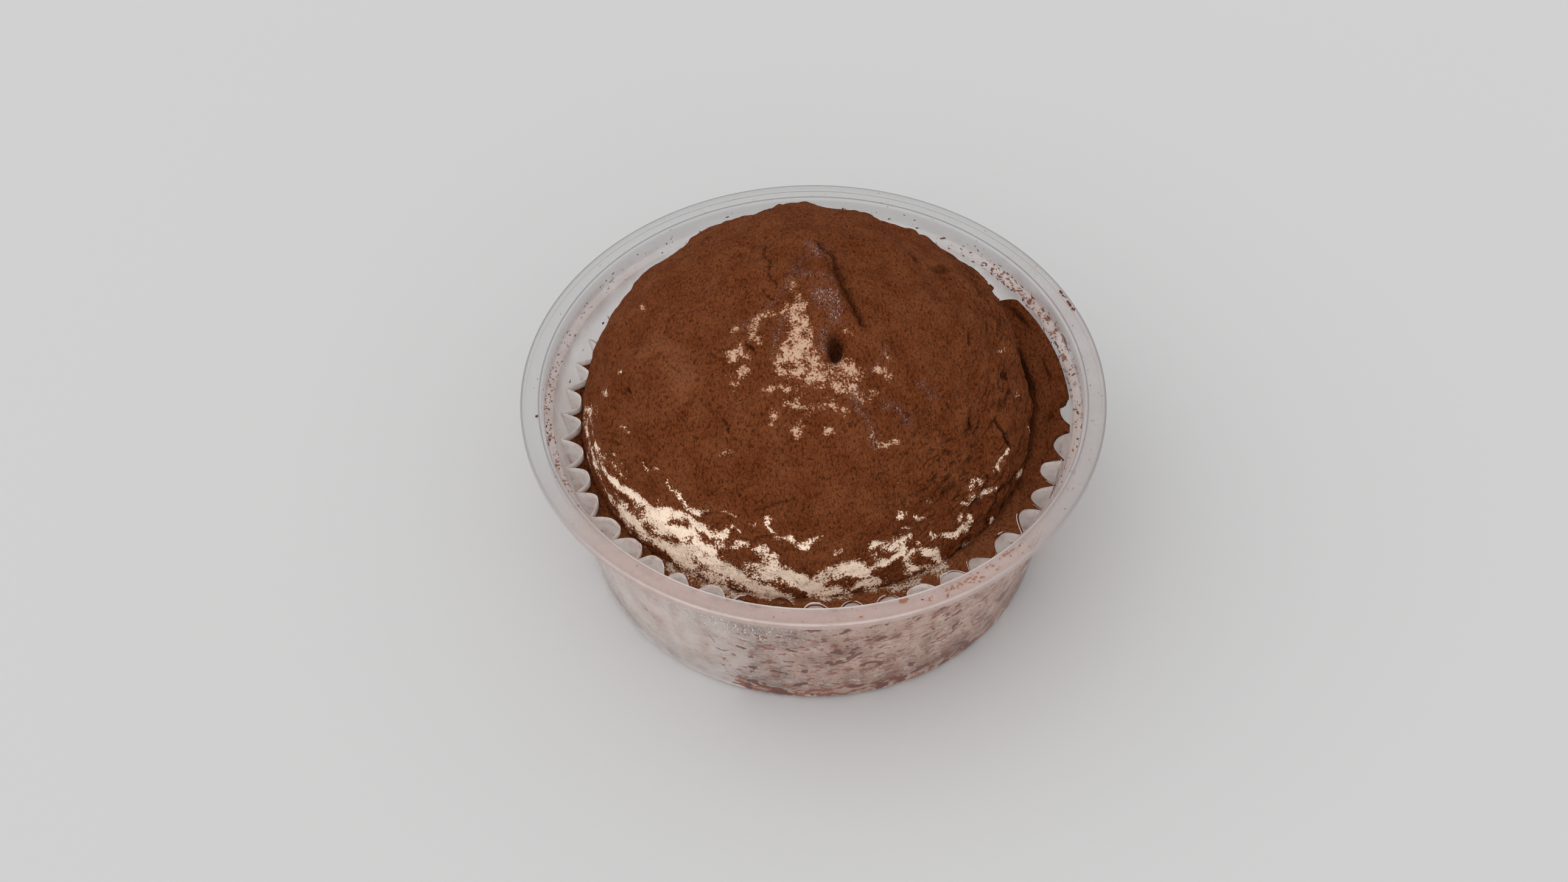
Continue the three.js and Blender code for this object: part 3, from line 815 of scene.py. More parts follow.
def make_tartufo(material):
    """The dome is a square grid mapped onto a disc, so that its crown is as fine as its side. Rings
    carry the grid's edge down to the flat underside."""
    side = 281
    lower_rings = 14
    radius, azimuth = square_to_disc(side)
    dome, marks = dressed_ball((1 - radius) * math.pi / 2, azimuth)

    number = np.arange(side * side).reshape(side, side)
    edge = np.concatenate([number[:-1, 0], number[-1, :-1], number[:0:-1, -1], number[0, :0:-1]])
    share = np.arange(1, lower_rings + 1)[:, None] / (lower_rings + 1)
    lower_level = np.broadcast_to(-math.pi / 2 * share, (lower_rings, len(edge)))
    lower_azimuth = np.broadcast_to(azimuth.ravel()[edge], lower_level.shape)
    lower, lower_marks = dressed_ball(lower_level, lower_azimuth)
    bottom = np.array([[BALL_CENTRE[0], BALL_CENTRE[1], BALL_BOTTOM]])

    points = np.concatenate([dome, lower, bottom])
    points[:, 2] = np.minimum(points[:, 2], CAD_BOX[1][2] / MM)
    attributes = {k: np.concatenate([marks[k], lower_marks[k], [0]]) for k in marks}
    rings = np.concatenate([edge[None, :], side * side + np.arange(len(lower)).reshape(lower_rings, -1)])
    skirt = rings.ravel()[grid_quads(lower_rings + 1, len(edge), wrap=True)]
    under = fan(len(points) - 1, rings[-1], outwards=True)
    faces = [outward(points, f, BALL_CENTRE) for f in (grid_quads(side, side), skirt, under)]
    add_piece("tartufo_crust", points, faces, material, attributes, "tartufo")


# ---- The paper case ----
def cup_inside(z):
    """Inside radius of the cup's tapered wall below its ledge."""
    return np.interp(z, (FOOT_ROUNDING, LEDGE_HEIGHT), (FOOT_RADIUS - CUP_WALL, LEDGE_RADIUS))


def pleat_middles():
    """Azimuth, in degrees, of every inner fold, with the first one repeated a turn later."""
    k = np.arange(PLEATS + 1)
    pitch = 360 / PLEATS
    return PLEAT_PHASE + pitch * (k + 2 * PLEAT_WANDER * scatter(k % PLEATS, 1))


def paper_inside(azimuth, z):
    """Radius of the paper's inner face. Across a pleat it is 1 less a power of the distance from the
    inner fold, which makes a broad lobe there and a sharp outer fold, and the lobes lean to one side
    towards the paper's edge."""
    middles = pleat_middles()
    degrees = (np.degrees(azimuth) - middles[0]) % 360 + middles[0]
    position = np.interp(degrees, middles, np.arange(PLEATS + 1.0))
    rise = smoothstep(z, FOLD_HEIGHT[0], FOLD_HEIGHT[2])
    nearest = np.round(position).astype(int) % PLEATS
    lean = 0.30 * scatter(nearest, 5) * rise
    offset = position - np.round(position)
    apart = 2 * np.abs(offset + lean * (1 - 4 * offset**2))
    width = 2.7 + 1.2 * scatter(nearest, 6)
    inward = 1 - np.clip(apart, 0, 1) ** mix(1.3, width, rise)
    outer_fold = cup_inside(z) - mix(PAPER_GAP + SOLID_PAPER, 0.5, rise)
    stray = DEPTH_WANDER * (0.5 + scatter(nearest, 2))
    inner_fold = np.interp(z, FOLD_HEIGHT, FOLD_RADIUS) + stray - 0.3 * rise
    return mix(outer_fold, inner_fold, inward), inward


def make_paper_case(material):
    """Rings of the paper's outer face from its middle up to its edge, then of its inner face back down."""
    thickness = 0.2
    pleat_columns = 30
    columns = PLEATS * pleat_columns
    rows = 22
    azimuth = np.linspace(0, 2 * math.pi, columns, endpoint=False)
    pleat = np.arange(columns) // pleat_columns
    _, inward_top = paper_inside(azimuth, np.full(columns, FOLD_HEIGHT[2]))
    edge_height = FOLD_HEIGHT[2] - 0.5 * inward_top * (0.5 + scatter(pleat, 9))
    z = mix(FOLD_HEIGHT[0], edge_height, np.linspace(0, 1, rows)[:, None])
    spread = np.broadcast_to(azimuth, z.shape)
    radius, inward = paper_inside(spread, z)
    radius = radius + 0.10 * noise(polar(spread, radius, z), 3.0, 61)
    outer = polar(spread, radius + thickness, z)
    inner = polar(spread, radius, z)
    floor_radii = np.array([[FAN_RADIUS], [CASE_FLOOR_RADIUS - 1.0]]) + 0 * azimuth
    floor_outer = polar(azimuth, floor_radii, CASE_FLOOR)
    floor_inner = polar(azimuth, floor_radii, CASE_FLOOR + thickness)
    rings = np.concatenate([floor_outer, outer, inner[::-1], floor_inner[::-1]])
    centres = np.array([[0, 0, CASE_FLOOR], [0, 0, CASE_FLOOR + thickness]])
    points = np.concatenate([rings.reshape(-1, 3), centres])

    # Brown dust is thickest low down towards the front right and in the outer folds. Near the edge all round
    # the paper is darkened by painted shade, most at the front, where it is partly a cocoa stain.
    front = 0.5 - 0.5 * np.sin(spread)
    front_right = 0.5 - 0.5 * np.sin(spread + 0.35)
    low = 1 - smoothstep(z, 26, 32)
    top = smoothstep(z, 28, 33)
    # The term that grows towards the top is painted shade.
    dust_and_shade = 0.1 + (0.15 + 0.35 * (1 - inward) + 0.55 * front_right) * low + (0.12 + 0.45 * front) * top
    covered = np.ones((2, columns))
    dust_and_shade = np.concatenate([covered, dust_and_shade, dust_and_shade[::-1], covered]).ravel()

    first = np.arange(columns)
    last = (len(rings) - 1) * columns + first
    floor_faces = fan(len(points) - 2, first, outwards=False)
    inner_floor_faces = fan(len(points) - 1, last, outwards=True)
    faces = [grid_quads(len(rings), columns, wrap=True), floor_faces, inner_floor_faces]
    marks = {"dust_and_shade": np.append(0.5 * dust_and_shade, [0.5, 0.5])}
    add_piece("pleated_case", points, faces, material, marks, "paper_case")


# ---- The loose cocoa ----
def ball_radius_at(z):
    """Half width of the even ball at height z."""
    up = np.clip((z - BALL_CENTRE[2]) / BALL_RISE, 0, 1)
    down = np.clip((BALL_CENTRE[2] - z) / (BALL_CENTRE[2] - BALL_BOTTOM), 0, 1)
    above = BALL_RADIUS * np.sqrt(1 - up**2)
    below = BALL_RADIUS * (1 - down**BALL_SQUARENESS) ** (1 / BALL_SQUARENESS)
    return np.where(z >= BALL_CENTRE[2], above, below)


def food_side(azimuth, z):
    """Radius from the cup's axis of the ball's side."""
    offset = BALL_CENTRE[0] * np.cos(azimuth) + BALL_CENTRE[1] * np.sin(azimuth)
    return ball_radius_at(z) + offset


def cocoa_level(azimuth):
    """Height of the powder along the ball: a cosine of the azimuth, highest at the right."""
    turn = azimuth - math.radians(COCOA_RIGHT_SIDE)
    return mix(*COCOA_LEVEL, (1 + np.cos(turn)) / 2)


def bank_share(azimuth):
    """1 where the powder is banked up over the paper's edge, and 0 away from there."""
    return window(signed_degrees(azimuth), *BANK_FROM, *BANK_TO)


def make_loose_cocoa(material):
    """A ring whose surface climbs from the ball to the paper, and over its edge on the bank and where
    powder has spilled. It goes a little into the ball, so that no gap shows."""
    columns = PLEATS * 32
    mean_radius = 48
    steps = np.linspace(0, 1, 26)[:, None]
    azimuth = np.linspace(0, 2 * math.pi, columns, endpoint=False)
    degrees = signed_degrees(azimuth)
    level = cocoa_level(azimuth)
    bank = bank_share(azimuth)
    spill = np.max([share * bell(degrees, at, width, power) for at, width, power, share in SPILLS], axis=0)
    packed = bell(degrees, 135, 38, 4)
    inner = food_side(azimuth, level) - COCOA_TUCK
    in_case = paper_inside(azimuth, level + COCOA_EDGE)[0] - 0.04
    over = cup_inside(BANK_TOP) - 0.45
    edge = mix(in_case, over, smoothstep(bank, 0.35, 1))
    outer = np.minimum(edge + 3.0 * spill, np.maximum(over, edge))
    top_edge = level + COCOA_EDGE + 0.8 * packed
    top_edge = mix(top_edge, BANK_TOP - 0.3, np.clip(bank / 0.35, 0.55 * spill, 1))

    # The surface, with a furrow along the ball, a hump on the bank, ripples there and lumps all round.
    radius = mix(inner, outer, steps)
    z = mix(level, top_edge, mix(steps, steps**1.3, bank))
    z = z - 0.55 * bell(steps, 0.08, 0.10) + bank * bell(steps, 0.4, 0.22)
    place = polar(azimuth, radius, z)
    ripples = drawn_out(azimuth * mean_radius + 0 * steps, radius, 0 * z, (9, 1.1), 71)
    lumps = 0.30 * noise(place, 3.0, 72) + 0.16 * noise(place, 1.5, 73) + 0.08 * noise(place, 0.8, 74)
    inside = np.sin(steps * math.pi).clip(0) ** 0.5
    z = z + (lumps + 0.40 * ripples * bank) * (0.35 + 0.65 * inside)
    surface = polar(azimuth, radius, np.minimum(z, BANK_TOP))

    # The sides and the underside, out of sight.
    outer_z = np.array([[18.0], [5.2]]) + 0 * azimuth
    inner_z = np.array([[12.0], [18.0]]) + 0 * azimuth
    underside_out, underside_in = 41.5, 40.3
    rings = np.concatenate(
        [
            surface,
            polar(azimuth, edge, np.minimum(top_edge - 0.3, 33.8))[None],
            polar(azimuth, in_case, np.minimum(top_edge - 0.4, 33.7))[None],
            polar(azimuth, paper_inside(azimuth + 0 * outer_z, outer_z)[0] - 0.05, outer_z),
            polar(azimuth, np.array([[underside_out], [underside_in]]), 2.4),
            polar(azimuth, np.maximum(food_side(azimuth, inner_z) + 0.1, underside_in), inner_z),
        ]
    )
    number = np.arange(len(rings) * columns).reshape(len(rings), columns)
    closed = np.concatenate([number, number[:1]])
    quads = closed.ravel()[grid_quads(len(closed), columns, wrap=True)][:, ::-1]

    # Cream from the ball tints the powder at the front. Painted shade darkens the furrow and the ripples, and
    # painted light makes the powder paler towards the front.
    towards = -surface[..., 1]
    spots = layered(surface.reshape(-1, 3), 2.4, 35, 3, 0.75).reshape(z.shape)
    border = inside_paths(surface.reshape(-1, 3), FRONT_CREAM).reshape(z.shape)
    cream = np.clip(border / 14 + 0.30, -1.5, 0.34) + 0.4 * spots
    cream = cream - 1.2 * (1 - smoothstep(towards, 20, 35))
    furrow = bell(steps, 0.10, 0.10) * (0.6 + 0.4 * bank)
    crack_shade = furrow * (0.2 + 0.8 * smoothstep(degrees, -50, -10)) + smoothstep(ripples, 0.5, 0.8) * bank
    crack_shade = np.clip(crack_shade, 0, 1) * (1 - smoothstep(cream, -0.4, 0.1))
    hidden = np.zeros((len(rings) - len(surface), columns))
    marks = {
        "crack_shade": np.concatenate([crack_shade, hidden]),
        "cream": np.concatenate([cream, hidden - 1]),
        # Painted light: the powder is paler towards the front.
        "smooth": np.concatenate([smoothstep(towards, 12, 34), hidden]),
    }
    add_piece("cocoa_heap", rings.reshape(-1, 3), [quads], material, marks, "loose_cocoa")


# ---- The clear cup ----
def arc(centre, radius, start, end, steps):
    """Points of a section's arc round centre, angles in degrees, both ends included."""
    a = np.radians(np.linspace(start, end, steps + 1))
    return np.stack([centre[0] + radius * np.cos(a), centre[1] + radius * np.sin(a)], -1)


def cup_section():
    """The cup's section as (radius, height), from its underside round its rim to its floor: straight
    runs between named sizes, with an arc at each corner."""
    foot_inner = FOOT_RADIUS - FOOT_ROUNDING - FOOT_RING_WIDTH
    foot_middle = FOOT_RADIUS - FOOT_ROUNDING
    floor = PANEL_RISE + CUP_WALL
    inside_foot = FOOT_ROUNDING - CUP_WALL
    under = RIM_HEIGHT - FLANGE_THICKNESS
    lip_inner = RIM_RADIUS - LIP_WIDTH
    lip_foot = under - LIP_DROP
    lip_soft = 0.2
    mouth = RIM_RADIUS - FLANGE_WIDTH
    soft = 0.3
    outer_wall = LEDGE_RADIUS + CUP_WALL
    ledge_under = LEDGE_HEIGHT - CUP_WALL
    collar_out = COLLAR_RADIUS + CUP_WALL
    ledge_soft = 0.4
    ledge_low = LEDGE_HEIGHT - ledge_soft
    recess = RIM_HEIGHT - 0.12
    share = np.arange(1, 10)[:, None] / 10
    outer_foot = np.array([FOOT_RADIUS, FOOT_ROUNDING])
    outer_top = np.array([outer_wall, ledge_under - soft])
    inner_top = np.array([LEDGE_RADIUS, ledge_low])
    inner_foot = np.array([FOOT_RADIUS - CUP_WALL, floor + inside_foot])
    parts = [
        [(FAN_RADIUS, PANEL_RISE), (foot_inner - 1.2, PANEL_RISE)],
        [(foot_inner - 0.5, PANEL_RISE - 0.15), (foot_inner, 0.06), (foot_inner + 0.3, 0.0)],
        [(foot_middle - 0.6, 0.0)],
        arc((foot_middle, FOOT_ROUNDING), FOOT_ROUNDING, -90, 0, 9),
        mix(outer_foot, outer_top, share),
        arc((outer_wall + soft, ledge_under - soft), soft, 180, 90, 4),
        arc((collar_out - soft, ledge_under + soft), soft, -90, 0, 4),
        arc((collar_out + soft, under - soft), soft, 180, 90, 4),
        [(lip_inner - soft, under), (lip_inner, under - soft), (lip_inner, lip_foot + 0.1)],
        arc((lip_inner + lip_soft, lip_foot + lip_soft), lip_soft, 180, 270, 3),
        arc((RIM_RADIUS - lip_soft, lip_foot + lip_soft), lip_soft, -90, 0, 3),
        arc((RIM_RADIUS - soft, RIM_HEIGHT - soft), soft, 0, 90, 4),
        [(RIM_RADIUS - 0.6, RIM_HEIGHT), (RIM_RADIUS - 0.85, recess)],
        [(mouth + 1.0, recess), (mouth + 0.5, recess)],
        [(mouth + 0.28, RIM_HEIGHT - 0.02), (mouth + 0.14, RIM_HEIGHT)],
        arc((mouth, RIM_HEIGHT - MOUTH_ROUNDING), MOUTH_ROUNDING, 90, 180, 6),
        [(COLLAR_RADIUS, LEDGE_HEIGHT + 1.4)],
        arc((COLLAR_RADIUS - ledge_soft, LEDGE_HEIGHT + ledge_soft), ledge_soft, 0, -90, 4),
        arc((LEDGE_RADIUS + ledge_soft, ledge_low), ledge_soft, 90, 180, 4),
        mix(inner_top, inner_foot, share),
        arc((foot_middle, floor + inside_foot), inside_foot, 0, -90, 6),
        [(foot_inner - 1.2, floor), (FAN_RADIUS, floor)],
    ]
    return np.concatenate([np.asarray(part, float).reshape(-1, 2) for part in parts])


def cup_marks(points):
    """How clouded, tinted, stained and wet the plastic is at each point, and where painted highlights and
    painted dark lines lie on it. Each of them is made of windows and bells over the azimuth, the height and
    the distance from the axis."""
    z = points[:, 2]
    out = np.hypot(points[:, 0], points[:, 1])
    degrees = signed_degrees(np.arctan2(points[:, 1], points[:, 0]))
    turn = degrees % 360
    on_rim = smoothstep(z, LEDGE_HEIGHT - 0.6, LEDGE_HEIGHT)
    on_ledge = window(z, 34, 36.4, 38, 40) * (out < COLLAR_RADIUS + 0.3)
    on_foot = (1 - smoothstep(z, 1.2, 3.5)) * (out > FOOT_RADIUS - 5)
    on_top = z > RIM_HEIGHT - 0.2
    outer_edge = (out > RIM_RADIUS - 0.35) * on_top
    near_side = bell(degrees, -95, 42)
    left_wall = window(turn, 150, 190, 245, 285)
    left_ledge = smoothstep(np.abs(degrees), 110, 150)

    # A film of powder: on the flange towards the front and right, on the wall most at the left.
    towards_front = window(degrees, -168, -125, -60, -10)
    right_rim = 1 - smoothstep(np.abs(degrees + 5), 30, 60)
    dusted = np.maximum(towards_front, 0.4 * right_rim)
    dusted_ledge = on_ledge * np.maximum(left_ledge, bell(degrees, 22, 34))
    warm = (1 - on_rim) * (1 - left_wall) * smoothstep(turn, 200, 240)
    film = mix(mix(0.12 + 0.2 * warm, 0.40, left_wall), mix(0.02, 0.45, dusted), on_rim)
    film = film + 0.4 * on_foot + 0.30 * dusted_ledge
    film[-2:] = 0

    # How much of the wall is brown: most at the front and right and along the base, least at the left.
    wall_stain = mix(0.20, 0.85, smoothstep(turn, 238, 258)) * (1 - 0.6 * smoothstep(turn, 348, 360))
    wall_stain = wall_stain - 0.6 * window(turn, 150, 185, 232, 250)
    low = 1 - smoothstep(z, 2.5, 7.0)
    wall_stain = wall_stain + 0.45 * low * smoothstep(turn, 225, 262) - 0.3 * smoothstep(z, 24, 35)
    rim_stain = (2.0 - 0.5 * left_ledge) * dusted_ledge - 1.0
    stain = np.where(on_rim > 0.5, rim_stain, wall_stain)
    stain = np.where((out < FOOT_RADIUS - 5) & (z < 3), -1.0, stain)

    # A painted dark line round the mouth and the outer edge, standing in for the edge's refraction, and a
    # painted highlight inside the mouth and on the outer edge at the near side.
    mouth_line = bell(out, MOUTH_LINE, 0.13) * (1 - 0.75 * near_side) * on_top
    mouth_highlight = bell(z, RIM_HEIGHT - 0.16, 0.14) * (np.abs(out - COLLAR_RADIUS - 0.4) < 0.4)
    return {
        "film": film,
        "wet": window(degrees, -128, -118, -98, -88) * window(z, 22, 28, 36, 36.8),
        "line": np.maximum(mouth_line, 0.7 * outer_edge * (1 - near_side)),
        "painted_highlight": mouth_highlight * (0.25 + 0.75 * near_side) + 0.2 * near_side * outer_edge,
        "stain": stain,
        "warm": warm,
        "pale": (1 - on_rim) * mix(0.2, 1.0, left_wall),
        "body": mix(0.03, 0.2, on_rim),
        "tint": np.clip(dusted + (1 - on_rim) + 1.4 * dusted_ledge, 0, 1),
    }


def make_cup(material):
    """The section turned round the axis, and closed by a fan under the cup and one on its floor."""
    section = cup_section()
    columns = 300
    azimuth = np.linspace(0, 2 * math.pi, columns, endpoint=False)
    rings = polar(azimuth, section[:, :1], section[:, 1:])
    centres = np.array([[0, 0, section[0, 1]], [0, 0, section[-1, 1]]])
    points = np.concatenate([rings.reshape(-1, 3), centres])
    first = np.arange(columns)
    last = (len(section) - 1) * columns + first
    bottom = fan(len(points) - 2, first, outwards=False)
    floor = fan(len(points) - 1, last, outwards=True)
    faces = [grid_quads(len(section), columns, wrap=True), bottom, floor]
    add_piece("clear_cup", points, faces, material, cup_marks(points), "cup")


# ---- Specks and smears of cocoa ----
def inside_path():
    """Stations up the cup's inside, from the foot to the flange's outer edge: length, radius, height."""
    stations = np.array(
        [
            (FOOT_RADIUS - 3.4, 1.32),
            (FOOT_RADIUS - 1.9, 1.5),
            (FOOT_RADIUS - 1.0, 2.1),
            (FOOT_RADIUS - CUP_WALL, FOOT_ROUNDING + 0.6),
            (LEDGE_RADIUS, LEDGE_HEIGHT),
            (COLLAR_RADIUS, LEDGE_HEIGHT),
            (COLLAR_RADIUS, RIM_HEIGHT - MOUTH_ROUNDING),
            (COLLAR_RADIUS + MOUTH_ROUNDING, RIM_HEIGHT),
            (RIM_RADIUS - 0.4, RIM_HEIGHT),
        ]
    )
    lengths = np.concatenate([[0], np.cumsum(np.linalg.norm(np.diff(stations, axis=0), axis=1))])
    return lengths, stations


# About how far up the inside the foot, the wall, the ledge, the collar and the flange end.
FOOT_END = 3.5
WALL_RUN = (LEDGE_RADIUS - FOOT_RADIUS + CUP_WALL, LEDGE_HEIGHT - FOOT_ROUNDING - 0.6)
WALL_END = FOOT_END + math.hypot(*WALL_RUN)
LEDGE_END = WALL_END + LEDGE_WIDTH
COLLAR_END = LEDGE_END + COLLAR_DEPTH - MOUTH_ROUNDING
FLANGE_END = COLLAR_END + MOUTH_ROUNDING * math.sqrt(2) + FLANGE_WIDTH - 0.4


def on_inside(azimuth, length, lift):
    """Points on the cup's inside at an azimuth and a length up its section, lifted off it."""
    lengths, stations = inside_path()
    radius = np.interp(length, lengths, stations[:, 0])
    z = np.interp(length, lengths, stations[:, 1])
    ahead_r = np.interp(length + 0.05, lengths, stations[:, 0])
    ahead_z = np.interp(length + 0.05, lengths, stations[:, 1])
    run, climb = ahead_r - radius, ahead_z - z
    size = np.maximum(np.hypot(run, climb), 1e-6)
    return polar(azimuth, radius - lift * climb / size, z + lift * run / size)


def blobs(azimuth, length, across, along, thickness, random):
    """Flat drops on the cup's inside. Each is a low dome of two rings and a tip, closed below by a flat
    face, and its outline is a circle with two, three and five waves round it."""
    sides = 12
    mean_radius = 50
    count = len(azimuth)
    turn = np.linspace(0, 2 * math.pi, sides, endpoint=False)
    wobble = np.zeros((count, sides))
    for order in (2, 3, 5):
        height = random.normal(0, 0.36 / order**0.5, (count, 1))
        wobble = wobble + height * np.cos(order * turn + random.uniform(0, 6.28, (count, 1)))
    outline = np.clip(1 + wobble, 0.3, 1.9)
    tilt = random.normal(0, 0.5, (count, 1))
    places = []
    for share, lift in ((1.0, 0.0), (0.82, 0.75), (0.0, 1.0)):
        flat_u = share * outline * np.cos(turn) * across[:, None]
        flat_v = share * outline * np.sin(turn) * along[:, None]
        u = flat_u * np.cos(tilt) - flat_v * np.sin(tilt)
        v = flat_u * np.sin(tilt) + flat_v * np.cos(tilt)
        up = np.clip(length[:, None] + v, 0, FLANGE_END)
        where = on_inside(azimuth[:, None] + u / mean_radius, up, 0.03 + lift * thickness[:, None])
        places.append(where if share else where[:, :1])
    points = np.concatenate(places, axis=1)
    ring = np.arange(sides)
    after = (ring + 1) % sides
    side_faces = np.stack([ring, after, after + sides, ring + sides], -1)
    cap = np.stack([ring + sides, after + sides, np.full(sides, 2 * sides)], -1)
    base = np.stack([np.zeros(sides - 2, int), ring[2:], ring[1:-1]], -1)
    step = points.shape[1] * np.arange(count)[:, None, None]
    faces = [(f + step).reshape(-1, f.shape[1])[:, ::-1] for f in (side_faces, np.concatenate([cap, base]))]
    return points.reshape(-1, 3), faces


def on_flange(radius):
    """Length up the inside of a place on the flange."""
    return COLLAR_END + MOUTH_ROUNDING * math.sqrt(2) + radius - (RIM_RADIUS - FLANGE_WIDTH)


# Batches of smears: how many, their azimuths, their lengths up the inside, their sizes, how many times
# wider than long they are, their thickness, and how thin and so how pale the powder is. Azimuths and
# lengths are "even" between two values, "about" a middle with a spread, or "beyond" a third value.
FINE = (0.05, 0.2)
PALER = (0.2, 1.3)
WHOLE_FLANGE = ("even", COLLAR_END, FLANGE_END - 0.3)
OUTER_FLANGE = ("even", COLLAR_END + 1.5, FLANGE_END - 0.4)
SMEARS = (
    # Wall: front and right blotches, low ones, the right side, and the rest of the way round.
    (320, ("beyond", 9, 42, 250), ("even", 4, 30, 1.2), (0.1, 0.42), (1.2, 2.8), 0.12, (0, 0.8)),
    (70, ("beyond", 4, 38, 254), ("even", 5, 27), (0.3, 0.85), (0.9, 1.9), 0.14, (0, 0.5)),
    (180, ("about", 318, 14), ("even", 3, 32), (0.12, 0.5), (1.2, 2.8), 0.12, (0, 1)),
    (460, ("even", 245, 535), ("even", 0, 6, 1.2), (0.2, 0.7), (1.3, 3.0), 0.14, (0, 1)),
    (220, ("even", 0, 250), ("even", 2, 34, 1.6), (0.12, 0.5), (1.0, 2.2), 0.1, (0, 1)),
    # Ledge and collar: dense at the left and at the back right, a few elsewhere.
    (240, ("about", 184, 14), ("even", WALL_END, LEDGE_END + 0.8, 0.8), FINE, (0.8, 1.8), 0.12, (0, 1)),
    (130, ("about", 42, 10), ("even", WALL_END - 0.4, LEDGE_END + 0.6), (0.06, 0.24), (1, 2.4), 0.14, PALER),
    (200, ("about", 8, 16), ("even", WALL_END - 1, LEDGE_END + 1.6), (0.05, 0.24), (0.8, 2.2), 0.12, PALER),
    (300, ("even", 0, 360), ("even", WALL_END, COLLAR_END), FINE, (0.8, 2.0), 0.08, (0, 1)),
    # Flange: specks all round, then a stroke, a dot and smears where the photograph has them.
    (160, ("even", 0, 360), WHOLE_FLANGE, (0.04, 0.12), (0.8, 1.6), 0.06, (0.5, 1.4)),
    (14, ("even", 22.7, 28.3), ("about", on_flange(57.7), 0.08), (0.16, 0.30), (1.2, 2.2), 0.06, (0, 0.4)),
    (1, ("about", 186.8, 0), ("about", on_flange(55.3), 0), (0.30, 0.32), (1.0, 1.1), 0.08, (0, 0.2)),
    (18, ("even", 296.5, 303.5), ("about", on_flange(56.2), 0.35), (0.08, 0.26), (1, 2.4), 0.05, (1, 1.5)),
    (10, ("even", 311, 317), ("about", on_flange(55.5), 0.15), (0.08, 0.24), (1.0, 2.6), 0.05, (1, 1.5)),
    (4, ("about", 288, 0.3), ("about", on_flange(55.1), 0.2), (0.25, 0.5), (1.0, 1.3), 0.08, (0.8, 1.2)),
    (60, ("about", 302, 10), OUTER_FLANGE, (0.04, 0.17), (1, 2.6), 0.05, (0.5, 1.3)),
)


def make_smears(material):
    """Cocoa stuck to the cup: blotches on its wall, denser low down and to the right, and specks on
    its ledge, collar and flange."""
    random = np.random.default_rng(7)

    def draw(count, kind, first, second, third=1.0):
        """Numbers that lie even between two values, by a share raised to a power, or normal about a
        middle, or that far beyond a third value."""
        if kind == "even":
            return first + (second - first) * random.uniform(0, 1, count) ** third
        drawn = random.normal(first, second, count)
        return third + abs(drawn) if kind == "beyond" else drawn

    columns = []
    for count, azimuths, lengths, sizes, ratio, thickness, thin in SMEARS:
        azimuth = np.radians(draw(count, *azimuths))
        length = draw(count, *lengths)
        size = np.exp(random.uniform(*np.log(sizes), count))
        width = size * random.uniform(*ratio, count)
        depth = np.minimum(size, 1) * thickness
        columns.append((azimuth, length, width, size, depth, random.uniform(*thin, count)))
    *places, thin = (np.concatenate(column) for column in zip(*columns))
    points, faces = blobs(*places, random)
    marks = {"thin": np.repeat(thin, len(points) // len(thin))}
    add_piece("cocoa_smears", points, faces, material, marks)


# ---- Floor, light and camera ----
FLOOR_GREY = 0.61
SKY_STRENGTH = 0.74
LIGHTS = (("window_left", 0.80, (-0.62, -0.2, 0.76)), ("front_fill", 0.58, (0.1, -0.8, 0.6)))


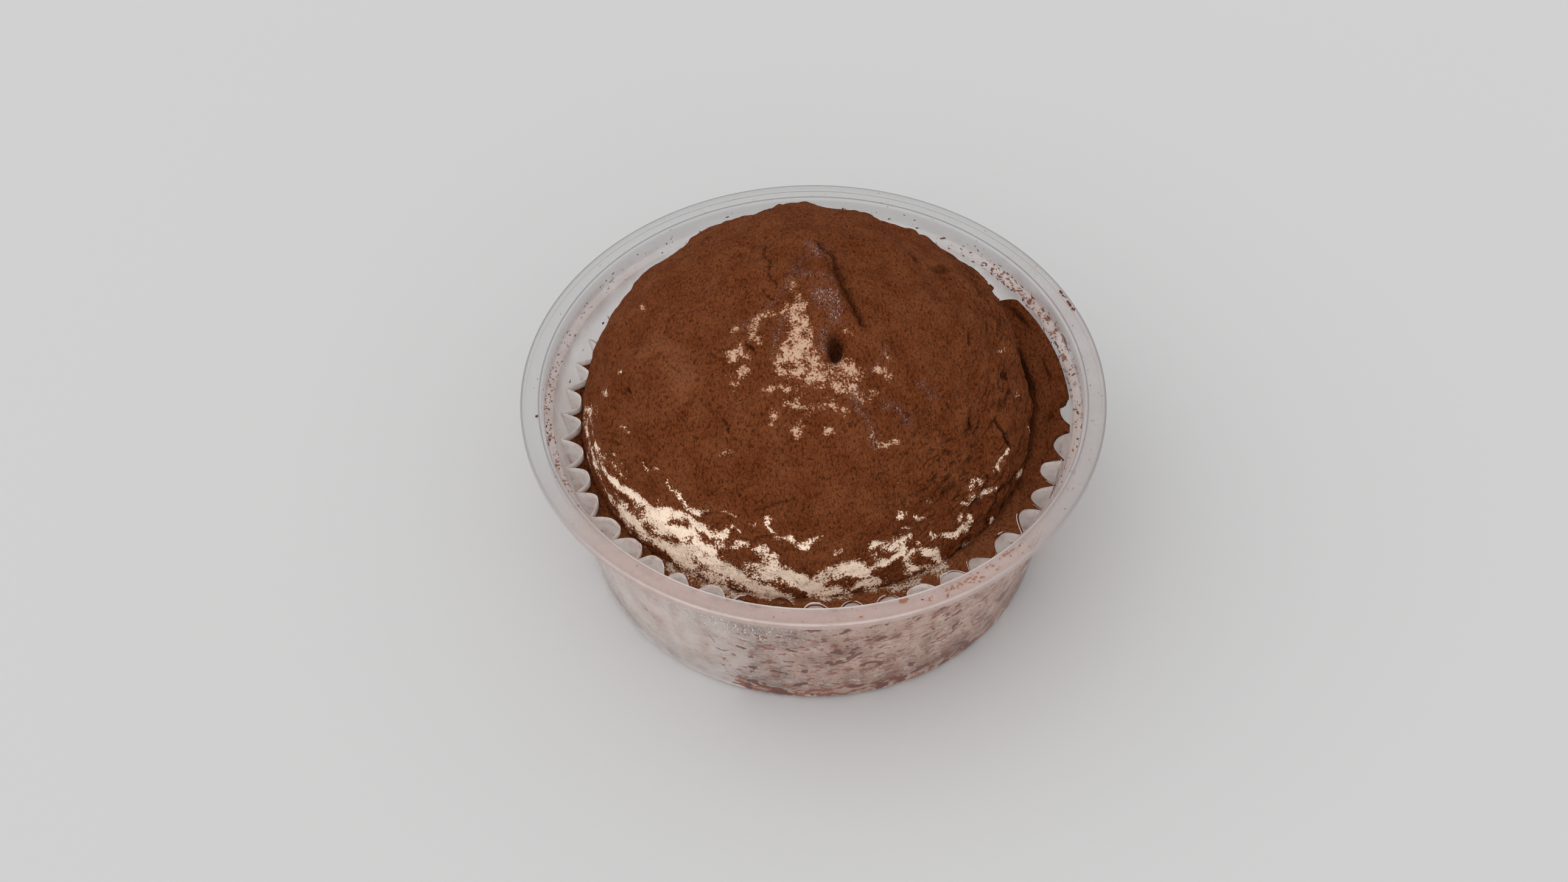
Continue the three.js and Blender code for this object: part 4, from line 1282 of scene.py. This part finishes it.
def add_camera():
    """The photograph's camera: it looks at the rim's centre, and is then turned so that this centre
    falls on its pixel."""
    elevation = math.radians(CAMERA_ELEVATION)
    target = Vector((0, 0, RIM_HEIGHT * MM))
    back = Vector((0, -math.cos(elevation), math.sin(elevation)))
    seat = target + back * CAMERA_DISTANCE * MM
    offset = Vector(
        (RIM_CENTRE_PIXEL[0] - PHOTO[0] / 2, PHOTO[1] / 2 - RIM_CENTRE_PIXEL[1], -FOCAL_PIXELS)
    )
    aim = Vector((0, 0, -1)).rotation_difference(offset.normalized())
    look = (target - seat).to_track_quat("-Z", "Y")
    lens = bpy.data.cameras.new("camera")
    lens.sensor_width = 36
    lens.lens = FOCAL_PIXELS / PHOTO[0] * lens.sensor_width
    lens.clip_start = 0.01
    camera = bpy.data.objects.new("camera", lens)
    bpy.context.scene.collection.objects.link(camera)
    camera.rotation_mode = "QUATERNION"
    camera.rotation_quaternion = look @ aim.inverted()
    camera.location = seat
    bpy.context.scene.camera = camera
    bpy.context.view_layer.update()


def add_floor():
    """A plain square, three metres to each side."""
    grey = (FLOOR_GREY, FLOOR_GREY, FLOOR_GREY, 1)
    material = Finish("pale_floor").surface({"Base Color": grey, "Roughness": 0.7, "Specular IOR Level": 0.1})
    size = 3.0
    mesh = bpy.data.meshes.new("floor")
    corners = [(-size, -size, 0), (size, -size, 0), (size, size, 0), (-size, size, 0)]
    mesh.from_pydata(corners, [], [(0, 1, 2, 3)])
    mesh.materials.append(material)
    floor = bpy.data.objects.new("floor", mesh)
    bpy.context.scene.collection.objects.link(floor)


def add_light():
    """An even sky, one broad soft light from the left and a weaker one from the front."""
    scene = bpy.context.scene
    scene.view_settings.view_transform = "Standard"
    world = bpy.data.worlds.new("soft_studio")
    world.use_nodes = True
    background = world.node_tree.nodes["Background"]
    background.inputs["Color"].default_value = (1, 1, 1, 1)
    background.inputs["Strength"].default_value = SKY_STRENGTH
    scene.world = world
    for name, strength, side in LIGHTS:
        lamp = bpy.data.lights.new(name, "SUN")
        lamp.energy = strength
        lamp.angle = math.radians(80)
        light = bpy.data.objects.new(name, lamp)
        light.rotation_euler = (-Vector(side)).to_track_quat("-Z", "Y").to_euler()
        scene.collection.objects.link(light)


add_camera()
add_light()
add_floor()
make_tartufo(crust_finish())
make_paper_case(paper_finish())
make_loose_cocoa(powder_finish())
make_cup(plastic_finish())
make_smears(smear_finish())
